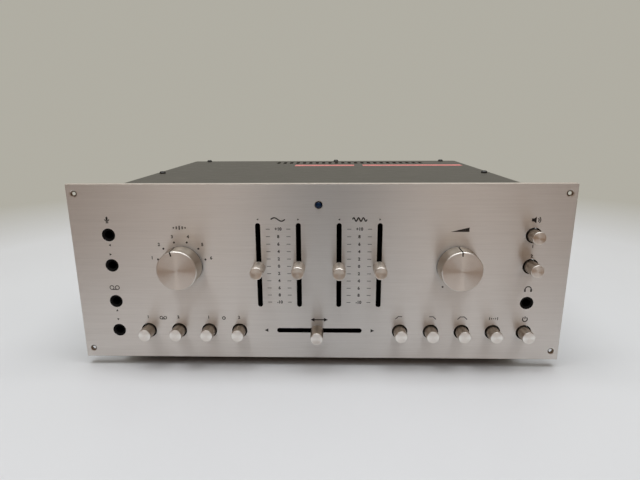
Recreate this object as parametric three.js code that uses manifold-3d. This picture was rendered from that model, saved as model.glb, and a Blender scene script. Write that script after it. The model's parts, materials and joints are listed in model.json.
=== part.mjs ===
// An integrated stereo amplifier as separate pieces, in millimetres.
// X runs to the right, Y from the front to the back and Z up. The feet stand on Z = 0.
import * as THREE from "three";
import { mergeVertices } from "three/addons/utils/BufferGeometryUtils.js";
import Module from "manifold-3d";

// Driving dimensions

// Clearances between pieces, and how far a cutter runs past what it cuts
const fitGap = 0.3;
const seatGap = 0.1;
const overrun = 1;

// Front panel
const panelWidth = 387;
const panelHeight = 143.5;
const panelThickness = 6;
const panelLift = 7; // its lower edge above the soles of the feet
const panelChamfer = 0.6;
const cornerHoleRadius = 2.25;
const cornerSinkRadius = 3.1;
const cornerSinkDepth = 0.9;
const cornerHoleInset = 5.7; // from the panel's side edge
const cornerHoleRise = 7.3; // from its lower or upper edge

// Rows, as shares of the panel's height above its lower edge
const buttonRowShare = 0.1652;
const balanceRowShare = 0.1686;
const jackRowShare = 0.34;
const knobRowShare = 0.5505;

// Other places on the panel
const rowPitch = 24.8; // from the knobs' row to the uppermost row
const pilotDrop = 16.2; // below the panel's upper edge
const edgeColumnInset = 29.3; // outermost controls, from the panel's side edge
const innerButtonColumn = 65; // innermost buttons, from the middle of the panel
const knobInset = 85.4; // big knobs, from the panel's side edge
const slotPitch = 31.4;

// Slots of the sliding controls
const slotWidth = 3.9;
const slotLength = 68.7;
const innerSlotWidth = 3;
const balanceRestOffset = -1.7; // the balance knob stands a little left of the middle
const toneRestOffsets = [-1.3, -0.9, -1.7, -0.9]; // and the tone knobs a little below it

// Sliding controls
const slideTravel = 30; // each way from the middle
const sliderKnobRadius = 4.95;
const sliderKnobTaper = 0.2;
const sliderKnobReach = 16.8; // in front of the panel
const sliderKnobFloat = 1.2; // behind it, before the panel
const sliderKnobBevel = 0.5;
const sliderKnobDish = 0.5;
const sliderKnobCrown = 4;
const leverThickness = 2;
const leverWidth = 6;
const carriageWidth = 6.4;
const carriageLength = 10;
const carriageDepth = 6;
const carriageSlack = 0.4;
const slideUnitWall = 2.4;
const slideUnitFrontWall = 1.6;
const slideUnitEnd = 4.6; // its case past the slot's end

// Big knobs, their shafts and what these turn
const knobReach = 15;
const knobFloat = 0.8;
const knobFaceRadius = 15.5;
const knobTaper = 0.75; // its base is that much larger in radius
const knobBevel = 0.5;
const knobCrown = 3.5;
const pointerWidth = 1.1;
const pointerDepth = 0.7;
const pointerLength = 3.4;
const selectorRestDegrees = -15; // the third of six places, 30 degrees apart
const volumeRestDegrees = -3.5;
const shaftRadius = 3;
const shaftTail = 17; // past the front of the control's body
const bushingRadius = 4.7;
const bushingRecess = 1.5; // behind the panel's face
const shaftHoleSlack = 0.9;
const potRadius = 15;
const potNeckRadius = 13;
const potGangLength = 9.5;
const potNeckLength = 1.5;
const waferRadius = 17;
const waferThickness = 1.8;
const waferPitch = 15;
const waferCount = 3;
const waferRodRadius = 1.6;
const waferRodColumn = 13;

// Push buttons and their switches
const buttonRadius = 4.95;
const buttonTaper = 0.5; // it is that much larger in radius where it meets the panel
const buttonLength = 17.3;
const buttonReach = 11.3;
const latchedButtonReach = 10.6;
const releasedButtonReach = 13.6;
const buttonCrown = 0.45;
const buttonBevel = 0.35;
const buttonRing = 0.7; // dark ring round each button in the panel
const buttonSlack = 0.5;
const buttonTravel = 4;
const stemRadius = 2;
const stemLength = 18;
const bankHalfHeight = 8;
const bankHalfModule = 5;
const bankEndShare = 0.36; // of the button pitch, past the last stem where there is room
const bankDepth = 33;
const bankStandoff = 3.6; // behind the sub panel
const bankBossWidth = 5;

// Jacks
const jackBoreRadius = 3.3;
const jackWall = 1.4;
const jackMouth = 0.7;
const jackRecess = 0.3;
const jackBoreDepth = 33;
const jackEndWall = 3;
const jackBodyMargin = 0.5; // its body is that much higher than its bushing, above and below
const jackBodyInward = 10;

// Pilot lamp
const pilotRadius = 2.6;
const pilotReach = 1.3;
const pilotTail = 4;

// Chassis and cover, in sheet metal
const sheet = 1.2;
const subPanelSheet = 1.5;
const earWidth = 23.5; // panel past the cover at each side
const subPanelMargin = 17.5; // panel past the sub panel at each side
const coverDrop = 5; // below the panel's upper edge
const coverReach = 272; // rear edge behind the panel's face
const coverSkirt = 14;
const coverRound = 2.2;
const cornerRound = 5;
const flangeDepth = 14;
const reliefSlack = 0.6; // round what passes through the chassis sides

// Vents
const ventWidth = 4;
const ventPitch = 8;
const coverVentSpan = 188;
const coverVentMiddle = 31.5;
const coverVentLength = 21;
const coverVentInset = 19; // from the cover's rear edge
const sideVentLength = 44;
const sideVentSpan = 92;
const sideVentPitch = 12;
const sideVentInset = 66;
const sideVentRise = 66; // above the panel's lower edge
const floorVentLength = 34;
const floorVentPitch = 16;

// Feet
const footHeight = 13.7;
const footRadius = 12;
const footBevel = 1.2;
const footRecessRadius = 4.5;
const footRecessDepth = 5;
const footSideInset = 30; // from the cover's side
const frontFootInset = 30; // from the panel's face
const rearFootInset = 32; // from the cover's rear edge

// Cover screws
const screwHeadRadius = 3;
const screwHeadHeight = 2.2;
const screwHeadBevel = 1;
const screwShankRadius = 1.5;
const screwShankLength = 7;
const sideScrewShare = 0.45; // of the cover's reach
const rearScrewInset = 21; // from the cover's side
const middleScrewColumn = 15;

// Pieces inside
const transformerSideInset = 62; // from the cover's side
const transformerRearInset = 86; // from the cover's rear edge
const coreWidth = 84;
const coreDepth = 44;
const coreHeight = 72;
const coilWidth = 54;
const coilDepth = 70;
const coilHeight = 46;
const coilRound = 7;
const bracketSheet = 2;
const bracketDepth = 76;
const capacitorRadius = 20;
const capacitorHeight = 84;
const capacitorRim = 1.6;
const capacitorSpacing = 50;
const clampMargin = 6;
const heatSinkBase = 5;
const heatSinkDepth = 28;
const heatSinkHeight = 96;
const heatSinkInset = 11; // its back before the rear panel
const finThickness = 2.2;
const finCount = 15;
const boardLeftGap = 26; // beside the transformer
const boardRightInset = 14; // from the cover's side
const boardFrontGap = 17; // behind the switches
const boardRearGap = 22; // before the heat sink
const boardThickness = 1.6;
const boardPostRadius = 3;
const boardPostHeight = 9;
const boardPostInset = 8;
const partRadius = 5;
const partHeight = 13;
const partSideInset = 30; // outermost parts, from the board's sides
const partEndInset = 39; // from its front and rear edges
const partColumns = 5;

// Back of the amplifier
const stripPlate = 2;
const stripDrop = 50.5; // middle of the strips below the cover's top
const stripSideInset = 14; // from the cover's side
const stripSpacing = 21;
const socketPitch = 20;
const socketColumns = 7;
const socketRows = 2;
const socketMargin = 12;
const socketRowPitch = 22;
const socketRadius = 4.1;
const socketReach = 9;
const socketBoreRadius = 1.7;
const socketBoreDepth = 8;
const collarRadius = 5.6;
const collarThickness = 1.2;
const mouldingInset = 5; // the moulded body inside the rear panel, from its plate's edge
const mouldingDepth = 5;
const terminalPitch = 16;
const terminalColumns = 4;
const terminalRows = 2;
const terminalRowPitch = 22;
const terminalMargin = 11;
const terminalRadius = 5;
const terminalNeckRadius = 2.6;
const terminalNeckLength = 3;
const terminalReach = 13;
const terminalBevel = 0.8;
const glandSideInset = 30; // from the cover's side
const glandRise = 32; // above the panel's lower edge
const glandRadius = 6.5;
const glandFlangeRadius = 9;
const glandFlangeThickness = 2.5;
const glandBoreRadius = 3.7;
const glandNoseRadius = 6;
const glandReach = 11;
const glandTail = 7;

// Faces round a turned piece
const fineSides = 36;
const roundSides = 16;
const smallSides = 12;
const tinySides = 8;
const curveSteps = 3;

// Places that follow from the sizes

const panelBottom = panelLift;
const panelTop = panelLift + panelHeight;
const panelHalf = panelWidth / 2;
const buttonRow = panelHeight * buttonRowShare;
const balanceRow = panelHeight * balanceRowShare;
const jackRow = panelHeight * jackRowShare;
const knobRow = panelHeight * knobRowShare;
const upperRow = knobRow + rowPitch;
const edgeColumn = panelHalf - edgeColumnInset;
const buttonPitch = (edgeColumn - innerButtonColumn) / 4;
const knobColumn = panelHalf - knobInset;
const bankEnd = buttonPitch * bankEndShare;
const onPanel = (row) => panelBottom + row;
const slotMiddle = onPanel(knobRow);

const subPanelFront = panelThickness + fitGap;
const subPanelBack = subPanelFront + subPanelSheet;
const bodyFront = subPanelBack + fitGap; // front of what is screwed behind the sub panel
const subPanelHalf = panelHalf - subPanelMargin;

const coverHalf = panelHalf - earWidth;
const coverTop = panelTop - coverDrop;
const trayHalf = coverHalf - sheet - fitGap;
const trayTop = coverTop - sheet - fitGap;
const trayBottom = footHeight + fitGap;
const floorTop = trayBottom + sheet;
const insideFloor = floorTop + fitGap;
const rearPanelBack = coverReach - sheet - fitGap;
const rearPanelFront = rearPanelBack - sheet;
const trayRear = rearPanelFront - fitGap;
const flangeHalf = trayHalf - flangeDepth - fitGap;

const stripFront = rearPanelBack + fitGap;
const stripBack = stripFront + stripPlate;
const rearmost = stripBack + Math.max(socketReach, terminalReach);
const frontmost = -sliderKnobReach;

const knobBaseRadius = knobFaceRadius + knobTaper;
const knobHoleRadius = bushingRadius + shaftHoleSlack;
const buttonBaseRadius = buttonRadius + buttonTaper;
const buttonHoleRadius = buttonBaseRadius + buttonRing;
const buttonPassRadius = buttonBaseRadius + buttonSlack;
const jackBushingRadius = jackBoreRadius + jackWall;
const jackBodyHalfHeight = jackBushingRadius + jackBodyMargin;
const jackHoleRadius = jackBushingRadius + fitGap;
const bankFront = subPanelBack + bankStandoff;
const bankBack = bankFront + bankDepth;
const jackBoreEnd = jackRecess + jackBoreDepth;
const jackBack = jackBoreEnd + jackEndWall;
const carriageFront = bodyFront + slideUnitFrontWall + carriageSlack;
const carriageBack = carriageFront + carriageDepth;
const slideUnitBack = carriageBack + carriageSlack + slideUnitWall;
const slideUnitSide = carriageWidth / 2 + carriageSlack + slideUnitWall;

const heatSinkBack = rearPanelFront - heatSinkInset;
const transformerColumn = transformerSideInset - coverHalf;
const transformerReach = coverReach - transformerRearInset;
const capacitorReach = (bankBack + transformerReach - bracketDepth / 2) / 2;
const boardLeft = transformerColumn + coreWidth / 2 + boardLeftGap;
const boardRight = coverHalf - boardRightInset;
const boardFront = bankBack + boardFrontGap;
const boardRear = heatSinkBack - heatSinkDepth - boardRearGap;

const stripRise = coverTop - stripDrop;
const socketStripHalf = ((socketColumns - 1) / 2) * socketPitch + socketMargin;
const terminalStripHalf = ((terminalColumns - 1) / 2) * terminalPitch + terminalMargin;
const socketStripMiddle = coverHalf - stripSideInset - socketStripHalf;
const terminalStripMiddle = socketStripMiddle - socketStripHalf - stripSpacing - terminalStripHalf;
const glandColumn = glandSideInset - coverHalf;
const footColumn = coverHalf - footSideInset;
const rearFootReach = coverReach - rearFootInset;

// Where each control stands on the panel, as [x, z]
const leftButtonSpots = [1, 2, 3, 4].map((step) => [
  step * buttonPitch - edgeColumn,
  onPanel(buttonRow),
]);
const rightButtonSpots = leftButtonSpots.map(([x, z]) => [-x, z]).reverse();
const powerSpot = [edgeColumn, onPanel(buttonRow)];
const speakerSpots = [upperRow, knobRow].map((row) => [edgeColumn, onPanel(row)]);
const leftJackSpots = [upperRow, knobRow, jackRow, buttonRow].map((row) => [
  -edgeColumn,
  onPanel(row),
]);
const phonesSpot = [edgeColumn, onPanel(jackRow)];
const buttonSpots = [...leftButtonSpots, ...rightButtonSpots, powerSpot, ...speakerSpots];
const jackSpots = [...leftJackSpots, phonesSpot];
const knobSpots = [-knobColumn, knobColumn].map((x) => [x, onPanel(knobRow)]);
const pilotSpot = [0, panelTop - pilotDrop];
const toneColumns = [0, 1, 2, 3].map((index) => (index - 1.5) * slotPitch);
const cornerSpots = [-1, 1].flatMap((side) => [
  [side * (panelHalf - cornerHoleInset), panelBottom + cornerHoleRise],
  [side * (panelHalf - cornerHoleInset), panelTop - cornerHoleRise],
]);
const sideScrewColumn = trayHalf - flangeDepth / 2;
const sideScrewReach = coverReach * sideScrewShare;
const rearScrewColumn = coverHalf - rearScrewInset;
const rearScrewReach = rearPanelFront - flangeDepth / 2;
const coverScrewSpots = [
  [-sideScrewColumn, sideScrewReach],
  [sideScrewColumn, sideScrewReach],
  [-rearScrewColumn, rearScrewReach],
  [middleScrewColumn, rearScrewReach],
  [rearScrewColumn, rearScrewReach],
];
const screwHoleRadius = screwShankRadius + fitGap;

// The library that joins and cuts closed solids
const wasm = await Module();
wasm.setup();

function solidOf(geometry) {
  const bare = geometry.clone();
  bare.deleteAttribute("normal");
  bare.deleteAttribute("uv");
  const merged = mergeVertices(bare);
  const vertProperties = merged.attributes.position.array;
  const triVerts = new Uint32Array(merged.index.array);
  return new wasm.Manifold(new wasm.Mesh({ numProp: 3, vertProperties, triVerts }));
}

function geometryOf(solid) {
  const { numProp, vertProperties, triVerts } = solid.getMesh();
  const geometry = new THREE.BufferGeometry();
  geometry.setAttribute("position", new THREE.BufferAttribute(vertProperties, numProp));
  geometry.setIndex(new THREE.BufferAttribute(triVerts, 1));
  return geometry;
}

function joined(geometries) {
  const [first, ...others] = geometries.map(solidOf);
  return geometryOf(others.reduce((whole, solid) => whole.add(solid), first));
}

function cutFrom(geometry, cutters) {
  const whole = cutters.map(solidOf).reduce((left, cutter) => left.subtract(cutter), solidOf(geometry));
  return geometryOf(whole);
}

function shared(geometries) {
  const [first, ...others] = geometries.map(solidOf);
  return geometryOf(others.reduce((left, solid) => left.intersect(solid), first));
}

// Basic forms. A span is a [low, high] pair.

function block(xSpan, ySpan, zSpan) {
  const size = [xSpan, ySpan, zSpan].map(([low, high]) => high - low);
  const middle = [xSpan, ySpan, zSpan].map(([low, high]) => (low + high) / 2);
  return new THREE.BoxGeometry(...size).translate(...middle);
}

const around = (middle, half) => [middle - half, middle + half];

// A turned piece whose axis runs from front to back. The profile holds [radius, y] pairs.
function turned(profile, sides) {
  return new THREE.LatheGeometry(profile.map((pair) => new THREE.Vector2(...pair)), sides);
}

// A turned piece that stands upright. The profile holds [radius, z] pairs.
function turnedUpright(profile, sides) {
  return turned(profile, sides).rotateX(Math.PI / 2);
}

function rod(radius, [front, back], sides, [x, z] = [0, 0]) {
  const profile = [[0, front], [radius, front], [radius, back], [0, back]];
  return turned(profile, sides).translate(x, 0, z);
}

function uprightRod(radius, [low, high], sides, [x, y] = [0, 0]) {
  const profile = [[0, low], [radius, low], [radius, high], [0, high]];
  return turnedUpright(profile, sides).translate(x, y, 0);
}

// A quarter of an ellipse from the axis to the rim, as [radius, y] pairs, with its top at the front
function frontDome(radius, top, height) {
  return Array.from({ length: curveSteps + 1 }, (_, step) => {
    const angle = (step / curveSteps) * (Math.PI / 2);
    return [radius * Math.sin(angle), top + height * (1 - Math.cos(angle))];
  });
}

function outlineOf(points) {
  return new THREE.Shape(points.map((pair) => new THREE.Vector2(...pair)));
}

function extruded(outline, [low, high], uAxis, vAxis) {
  const along = new THREE.Vector3().crossVectors(uAxis, vAxis);
  const settings = { depth: high - low, bevelEnabled: false, curveSegments: curveSteps };
  const start = along.y < 0 ? -high : low;
  return new THREE.ExtrudeGeometry(outline, settings)
    .translate(0, 0, start)
    .applyMatrix4(new THREE.Matrix4().makeBasis(uAxis, vAxis, along));
}

const xAxis = new THREE.Vector3(1, 0, 0);
const yAxis = new THREE.Vector3(0, 1, 0);
const zAxis = new THREE.Vector3(0, 0, 1);
const alongX = (outline, span) => extruded(outline, span, yAxis, zAxis);
const alongY = (outline, span) => extruded(outline, span, xAxis, zAxis);
const alongZ = (outline, span) => extruded(outline, span, xAxis, yAxis);

// An upright slot with round ends, about the origin
function slotOutline(width, length) {
  const radius = width / 2;
  const reach = length / 2 - radius;
  const outline = new THREE.Shape();
  outline.absarc(0, reach, radius, 0, Math.PI);
  outline.absarc(0, -reach, radius, Math.PI, 2 * Math.PI);
  outline.closePath();
  return outline;
}

// A rectangle with round corners
function roundedOutline([left, right], [low, high], radius) {
  const outline = new THREE.Shape();
  outline.absarc(right - radius, low + radius, radius, -Math.PI / 2, 0);
  outline.absarc(right - radius, high - radius, radius, 0, Math.PI / 2);
  outline.absarc(left + radius, high - radius, radius, Math.PI / 2, Math.PI);
  outline.absarc(left + radius, low + radius, radius, Math.PI, Math.PI * 1.5);
  outline.closePath();
  return outline;
}

// The four tone slots and the balance slot of one wall, from a maker of one upright cutter
function controlSlots(slot) {
  const tone = toneColumns.map((x) => slot().translate(x, 0, slotMiddle));
  return [...tone, slot().rotateY(Math.PI / 2).translate(0, 0, onPanel(balanceRow))];
}

// The narrower, square-ended slot punched behind each slot of the panel
function innerSlot(span) {
  return block(around(0, innerSlotWidth / 2), span, around(0, slotLength / 2));
}

// Evenly spaced places about a middle, as many as fit in a span
function spread(middle, span, pitch) {
  const count = Math.floor(span / pitch);
  return Array.from({ length: count }, (_, index) => middle + (index - (count - 1) / 2) * pitch);
}

// Front panel

function frontPanel() {
  const plan = outlineOf([
    [-panelHalf, panelThickness],
    [-panelHalf, panelChamfer],
    [-panelHalf + panelChamfer, 0],
    [panelHalf - panelChamfer, 0],
    [panelHalf, panelChamfer],
    [panelHalf, panelThickness],
  ]);
  const profile = outlineOf([
    [panelThickness, panelBottom],
    [panelChamfer, panelBottom],
    [0, panelBottom + panelChamfer],
    [0, panelTop - panelChamfer],
    [panelChamfer, panelTop],
    [panelThickness, panelTop],
  ]);
  const blank = shared([
    alongZ(plan, [panelBottom, panelTop]),
    alongX(profile, [-panelHalf, panelHalf]),
  ]);
  const through = [-overrun, panelThickness + overrun];
  const cornerHole = () => turned([
    [0, -overrun],
    [cornerSinkRadius, -overrun],
    [cornerSinkRadius, 0],
    [cornerHoleRadius, cornerSinkDepth],
    [cornerHoleRadius, panelThickness + overrun],
    [0, panelThickness + overrun],
  ], tinySides);
  return cutFrom(blank, [
    ...cornerSpots.map(([x, z]) => cornerHole().translate(x, 0, z)),
    ...buttonSpots.map((spot) => rod(buttonHoleRadius, through, roundSides, spot)),
    ...jackSpots.map((spot) => rod(jackHoleRadius, through, roundSides, spot)),
    ...knobSpots.map((spot) => rod(knobHoleRadius, through, smallSides, spot)),
    rod(pilotRadius + fitGap, through, smallSides, pilotSpot),
    ...controlSlots(() => alongY(slotOutline(slotWidth, slotLength), through)),
  ]);
}

// Steel plate behind the front panel, which carries every control

function subPanel() {
  const blank = joined([
    block([-subPanelHalf, subPanelHalf], [subPanelFront, subPanelBack], [trayBottom, trayTop]),
    block(
      [-flangeHalf, flangeHalf],
      [subPanelFront, subPanelBack + flangeDepth],
      [trayTop - sheet, trayTop],
    ),
  ]);
  const through = [subPanelFront - overrun, subPanelBack + overrun];
  return cutFrom(blank, [
    ...buttonSpots.map((spot) => rod(buttonPassRadius, through, smallSides, spot)),
    ...jackSpots.map((spot) => rod(jackHoleRadius, through, roundSides, spot)),
    ...knobSpots.map((spot) => rod(bushingRadius + fitGap, through, roundSides, spot)),
    rod(pilotRadius + fitGap, through, smallSides, pilotSpot),
    ...controlSlots(() => innerSlot(through)),
  ]);
}

function pilotLens() {
  return turned([
    ...frontDome(pilotRadius, -pilotReach, pilotReach),
    [pilotRadius, subPanelBack + pilotTail],
    [0, subPanelBack + pilotTail],
  ], smallSides);
}

// Big knobs

function bigKnob() {
  const boreRadius = shaftRadius + fitGap;
  const blank = turned([
    [0, -knobReach],
    [knobFaceRadius - knobBevel, -knobReach],
    [knobFaceRadius, -knobReach + knobBevel],
    [knobBaseRadius, -knobFloat],
    [boreRadius, -knobFloat],
    [boreRadius, -knobReach + knobCrown],
    [0, -knobReach + knobCrown],
  ], fineSides);
  const width = around(0, pointerWidth / 2);
  const past = knobBaseRadius + overrun;
  const before = -knobReach - overrun;
  return cutFrom(blank, [
    block(width, [before, -knobReach + pointerDepth], [knobFaceRadius - pointerLength, past]),
    block(width, [before, -knobFloat + overrun], [knobFaceRadius - pointerDepth, past]),
  ]);
}

function knobShaft() {
  const front = -knobReach + knobCrown + fitGap;
  return rod(shaftRadius, [front, bodyFront + shaftTail], smallSides);
}

// The front of a rotary control: its threaded bushing, and the bore that its shaft turns in
function rotaryBore() {
  const boreRadius = shaftRadius + fitGap;
  const boreEnd = bodyFront + shaftTail + fitGap;
  return [
    [0, boreEnd],
    [boreRadius, boreEnd],
    [boreRadius, bushingRecess],
    [bushingRadius, bushingRecess],
    [bushingRadius, bodyFront],
  ];
}

function volumeControl() {
  const firstBack = bodyFront + potGangLength;
  const secondFront = firstBack + potNeckLength;
  const secondBack = secondFront + potGangLength;
  return turned([
    ...rotaryBore(),
    [potRadius, bodyFront],
    [potRadius, firstBack],
    [potNeckRadius, firstBack],
    [potNeckRadius, secondFront],
    [potRadius, secondFront],
    [potRadius, secondBack],
    [0, secondBack],
  ], roundSides);
}

function selectorSwitch() {
  const wafers = Array.from({ length: waferCount }, (_, index) => bodyFront + index * waferPitch);
  const back = wafers[waferCount - 1] + waferThickness;
  const profile = rotaryBore();
  for (const front of wafers) {
    profile.push([bushingRadius, front], [waferRadius, front]);
    profile.push([waferRadius, front + waferThickness], [bushingRadius, front + waferThickness]);
  }
  profile.push([0, back]);
  const rods = [-waferRodColumn, waferRodColumn].map((x) =>
    rod(waferRodRadius, [bodyFront, back], tinySides, [x, 0]));
  return joined([turned(profile.filter(differsFromLast), roundSides), ...rods]);
}

function differsFromLast(pair, index, pairs) {
  return index === 0 || pair.some((value, axis) => value !== pairs[index - 1][axis]);
}

// Sliding controls, each about the middle of its slot, with the slot upright

function sliderKnob() {
  const blank = turned([
    [0, -sliderKnobReach + sliderKnobDish],
    [sliderKnobRadius - sliderKnobBevel, -sliderKnobReach],
    [sliderKnobRadius, -sliderKnobReach + sliderKnobBevel],
    [sliderKnobRadius + sliderKnobTaper, -sliderKnobFloat],
    [0, -sliderKnobFloat],
  ], roundSides);
  return cutFrom(blank, [
    block(
      around(0, leverThickness / 2 + fitGap),
      [-sliderKnobReach + sliderKnobCrown, -sliderKnobFloat + overrun],
      around(0, leverWidth / 2 + fitGap),
    ),
  ]);
}

function sliderLever() {
  return joined([
    block(
      around(0, leverThickness / 2),
      [-sliderKnobReach + sliderKnobCrown + fitGap, carriageBack],
      around(0, leverWidth / 2),
    ),
    block(
      around(0, carriageWidth / 2),
      [carriageFront, carriageBack],
      around(0, carriageLength / 2),
    ),
  ]);
}

// The case of one or more sliding controls side by side
function slideUnit(columns) {
  const half = slotLength / 2 + slideUnitEnd;
  const channelHalf = slideTravel + carriageLength / 2 + overrun;
  const last = columns[columns.length - 1];
  const blank = block(
    [columns[0] - slideUnitSide, last + slideUnitSide],
    [bodyFront, slideUnitBack],
    around(0, half),
  );
  return cutFrom(blank, columns.flatMap((x) => [
    innerSlot([bodyFront - overrun, carriageFront]).translate(x, 0, 0),
    block(
      around(x, carriageWidth / 2 + carriageSlack),
      [carriageFront - carriageSlack, carriageBack + carriageSlack],
      around(0, Math.max(channelHalf, slotLength / 2 + fitGap)),
    ),
  ]));
}

// Push buttons and the switches behind them

// About the middle of its face, with the stem to the back
function pushButton() {
  return turned([
    [0, 0],
    [buttonRadius - buttonBevel, buttonCrown],
    [buttonRadius, buttonCrown + buttonBevel],
    [buttonBaseRadius, buttonReach],
    [buttonBaseRadius, buttonLength],
    [stemRadius, buttonLength],
    [stemRadius, buttonLength + stemLength],
    [0, buttonLength + stemLength],
  ], roundSides);
}

// A row of switches in one frame, held off the sub panel by bosses between the buttons
function switchBank(spots, xSpan, zSpan, bossSpots) {
  const frame = joined([
    block(xSpan, [bankFront, bankBack], zSpan),
    ...bossSpots.map(([x, z]) => block(
      around(x, bankBossWidth / 2),
      [bodyFront, bankFront + overrun],
      around(z, bankBossWidth / 2),
    )),
  ]);
  const boreSpan = [bankFront - overrun, bankBack + overrun];
  return cutFrom(frame, spots.map((spot) => rod(stemRadius + fitGap, boreSpan, tinySides, spot)));
}

const between = (first, second) => [(first[0] + second[0]) / 2, (first[1] + second[1]) / 2];

function leftSwitchBank() {
  const [first, second, third, fourth] = leftButtonSpots;
  const zSpan = around(first[1], bankHalfHeight);
  const xSpan = [first[0] - bankEnd, fourth[0] + bankEnd];
  return switchBank(leftButtonSpots, xSpan, zSpan, [between(first, second), between(third, fourth)]);
}

function rightSwitchBank() {
  const spots = [...rightButtonSpots, powerSpot];
  const zSpan = around(powerSpot[1], bankHalfHeight);
  const xSpan = [spots[0][0] - bankEnd, powerSpot[0] + bankHalfModule];
  return switchBank(spots, xSpan, zSpan, [between(spots[0], spots[1]), between(spots[3], spots[4])]);
}

function speakerSwitchBank() {
  const [upper, lower] = speakerSpots;
  const xSpan = around(upper[0], bankHalfModule);
  const zSpan = [lower[1] - bankHalfHeight, upper[1] + bankHalfHeight];
  return switchBank(speakerSpots, xSpan, zSpan, [between(upper, lower)]);
}

// A jack about its bore. Its springs and lugs lie on the side towards the middle of the panel.
function jack(inward) {
  const tip = jackRecess + jackMouth;
  const xSpan = [-inward * jackBushingRadius, inward * jackBodyInward].sort((a, b) => a - b);
  const blank = joined([
    rod(jackBushingRadius, [jackRecess, bodyFront + overrun], roundSides),
    block(xSpan, [bodyFront, jackBack], around(0, jackBodyHalfHeight)),
  ]);
  const bore = turned([
    [0, jackRecess - overrun],
    [jackBoreRadius + jackMouth, jackRecess - overrun],
    [jackBoreRadius + jackMouth, jackRecess],
    [jackBoreRadius, tip],
    [jackBoreRadius, jackBoreEnd],
    [0, jackBoreEnd],
  ], roundSides);
  return cutFrom(blank, [bore]);
}

// Chassis

// Openings in one side wall for the pieces of its edge column
function sideReliefs(side) {
  const wall = [trayHalf - sheet - overrun, trayHalf + overrun].map((x) => side * x);
  const xSpan = wall.sort((a, b) => a - b);
  const relief = (low, high, back) => block(
    xSpan,
    [bodyFront - overrun, back + reliefSlack],
    [low - reliefSlack, high + reliefSlack],
  );
  const jackRelief = ([, z]) => relief(z - jackBodyHalfHeight, z + jackBodyHalfHeight, jackBack);
  if (side < 0) return leftJackSpots.map(jackRelief);
  const [upper, lower] = speakerSpots;
  return [
    relief(lower[1] - bankHalfHeight, upper[1] + bankHalfHeight, bankBack),
    relief(powerSpot[1] - bankHalfHeight, powerSpot[1] + bankHalfHeight, bankBack),
    jackRelief(phonesSpot),
  ];
}

function chassisTray() {
  const inner = trayHalf - sheet;
  const section = outlineOf([
    [-trayHalf, trayBottom],
    [trayHalf, trayBottom],
    [trayHalf, trayTop],
    [trayHalf - flangeDepth, trayTop],
    [trayHalf - flangeDepth, trayTop - sheet],
    [inner, trayTop - sheet],
    [inner, floorTop],
    [-inner, floorTop],
    [-inner, trayTop - sheet],
    [-trayHalf + flangeDepth, trayTop - sheet],
    [-trayHalf + flangeDepth, trayTop],
    [-trayHalf, trayTop],
  ]);
  const blank = alongY(section, [bodyFront, trayRear]);
  const sideVents = [-1, 1].flatMap((side) => {
    const wall = [trayHalf - sheet - overrun, trayHalf + overrun].map((x) => side * x);
    const xSpan = wall.sort((a, b) => a - b);
    return spread(coverReach - sideVentInset, sideVentSpan, sideVentPitch).map((y) =>
      block(xSpan, around(y, ventWidth / 2), around(onPanel(sideVentRise), sideVentLength / 2)));
  });
  const floorVents = spread(coverVentMiddle, coverVentSpan, floorVentPitch).map((x) => block(
    around(x, ventWidth / 2),
    [heatSinkBack - floorVentLength, heatSinkBack],
    [trayBottom - overrun, floorTop + overrun],
  ));
  const screwHoles = coverScrewSpots.slice(0, 2).map((spot) =>
    uprightRod(screwHoleRadius, [trayTop - sheet - overrun, trayTop + overrun], tinySides, spot));
  return cutFrom(blank, [
    ...sideReliefs(-1), ...sideReliefs(1), ...sideVents, ...floorVents, ...screwHoles,
  ]);
}

function topCover() {
  const whole = [trayTop - coverSkirt, coverTop];
  const wide = [-coverHalf, coverHalf];
  const deep = [bodyFront, coverReach];
  const low = whole[0] - coverRound;
  const before = deep[0] - cornerRound;
  const shell = shared([
    alongY(roundedOutline(wide, [low, coverTop], coverRound), deep),
    alongX(roundedOutline([deep[0] - coverRound, coverReach], [low, coverTop], coverRound), wide),
    alongZ(roundedOutline(wide, [before, coverReach], cornerRound), whole),
    block(wide, deep, whole),
  ]);
  const inside = block(
    [-coverHalf + sheet, coverHalf - sheet],
    [bodyFront - overrun, coverReach - sheet],
    [whole[0] - overrun, coverTop - sheet],
  );
  const ventBack = coverReach - coverVentInset;
  const vents = spread(coverVentMiddle, coverVentSpan, ventPitch).map((x) => block(
    around(x, ventWidth / 2),
    [ventBack - coverVentLength, ventBack],
    [coverTop - sheet - overrun, coverTop + overrun],
  ));
  const screwHoles = coverScrewSpots.map((spot) =>
    uprightRod(screwHoleRadius, [coverTop - sheet - overrun, coverTop + overrun], tinySides, spot));
  return cutFrom(shell, [inside, ...vents, ...screwHoles]);
}

// A pan head screw about the cover's upper face
function coverScrew() {
  return turnedUpright([
    [0, -screwShankLength],
    [screwShankRadius, -screwShankLength],
    [screwShankRadius, seatGap],
    [screwHeadRadius, seatGap],
    [screwHeadRadius, screwHeadHeight - screwHeadBevel],
    [screwHeadRadius - screwHeadBevel, screwHeadHeight],
    [0, screwHeadHeight],
  ], tinySides);
}

function foot() {
  return turnedUpright([
    [0, footRecessDepth],
    [footRecessRadius, footRecessDepth],
    [footRecessRadius, 0],
    [footRadius - footBevel, 0],
    [footRadius, footBevel],
    [footRadius, footHeight],
    [0, footHeight],
  ], smallSides);
}

// Power supply and amplifier inside

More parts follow.
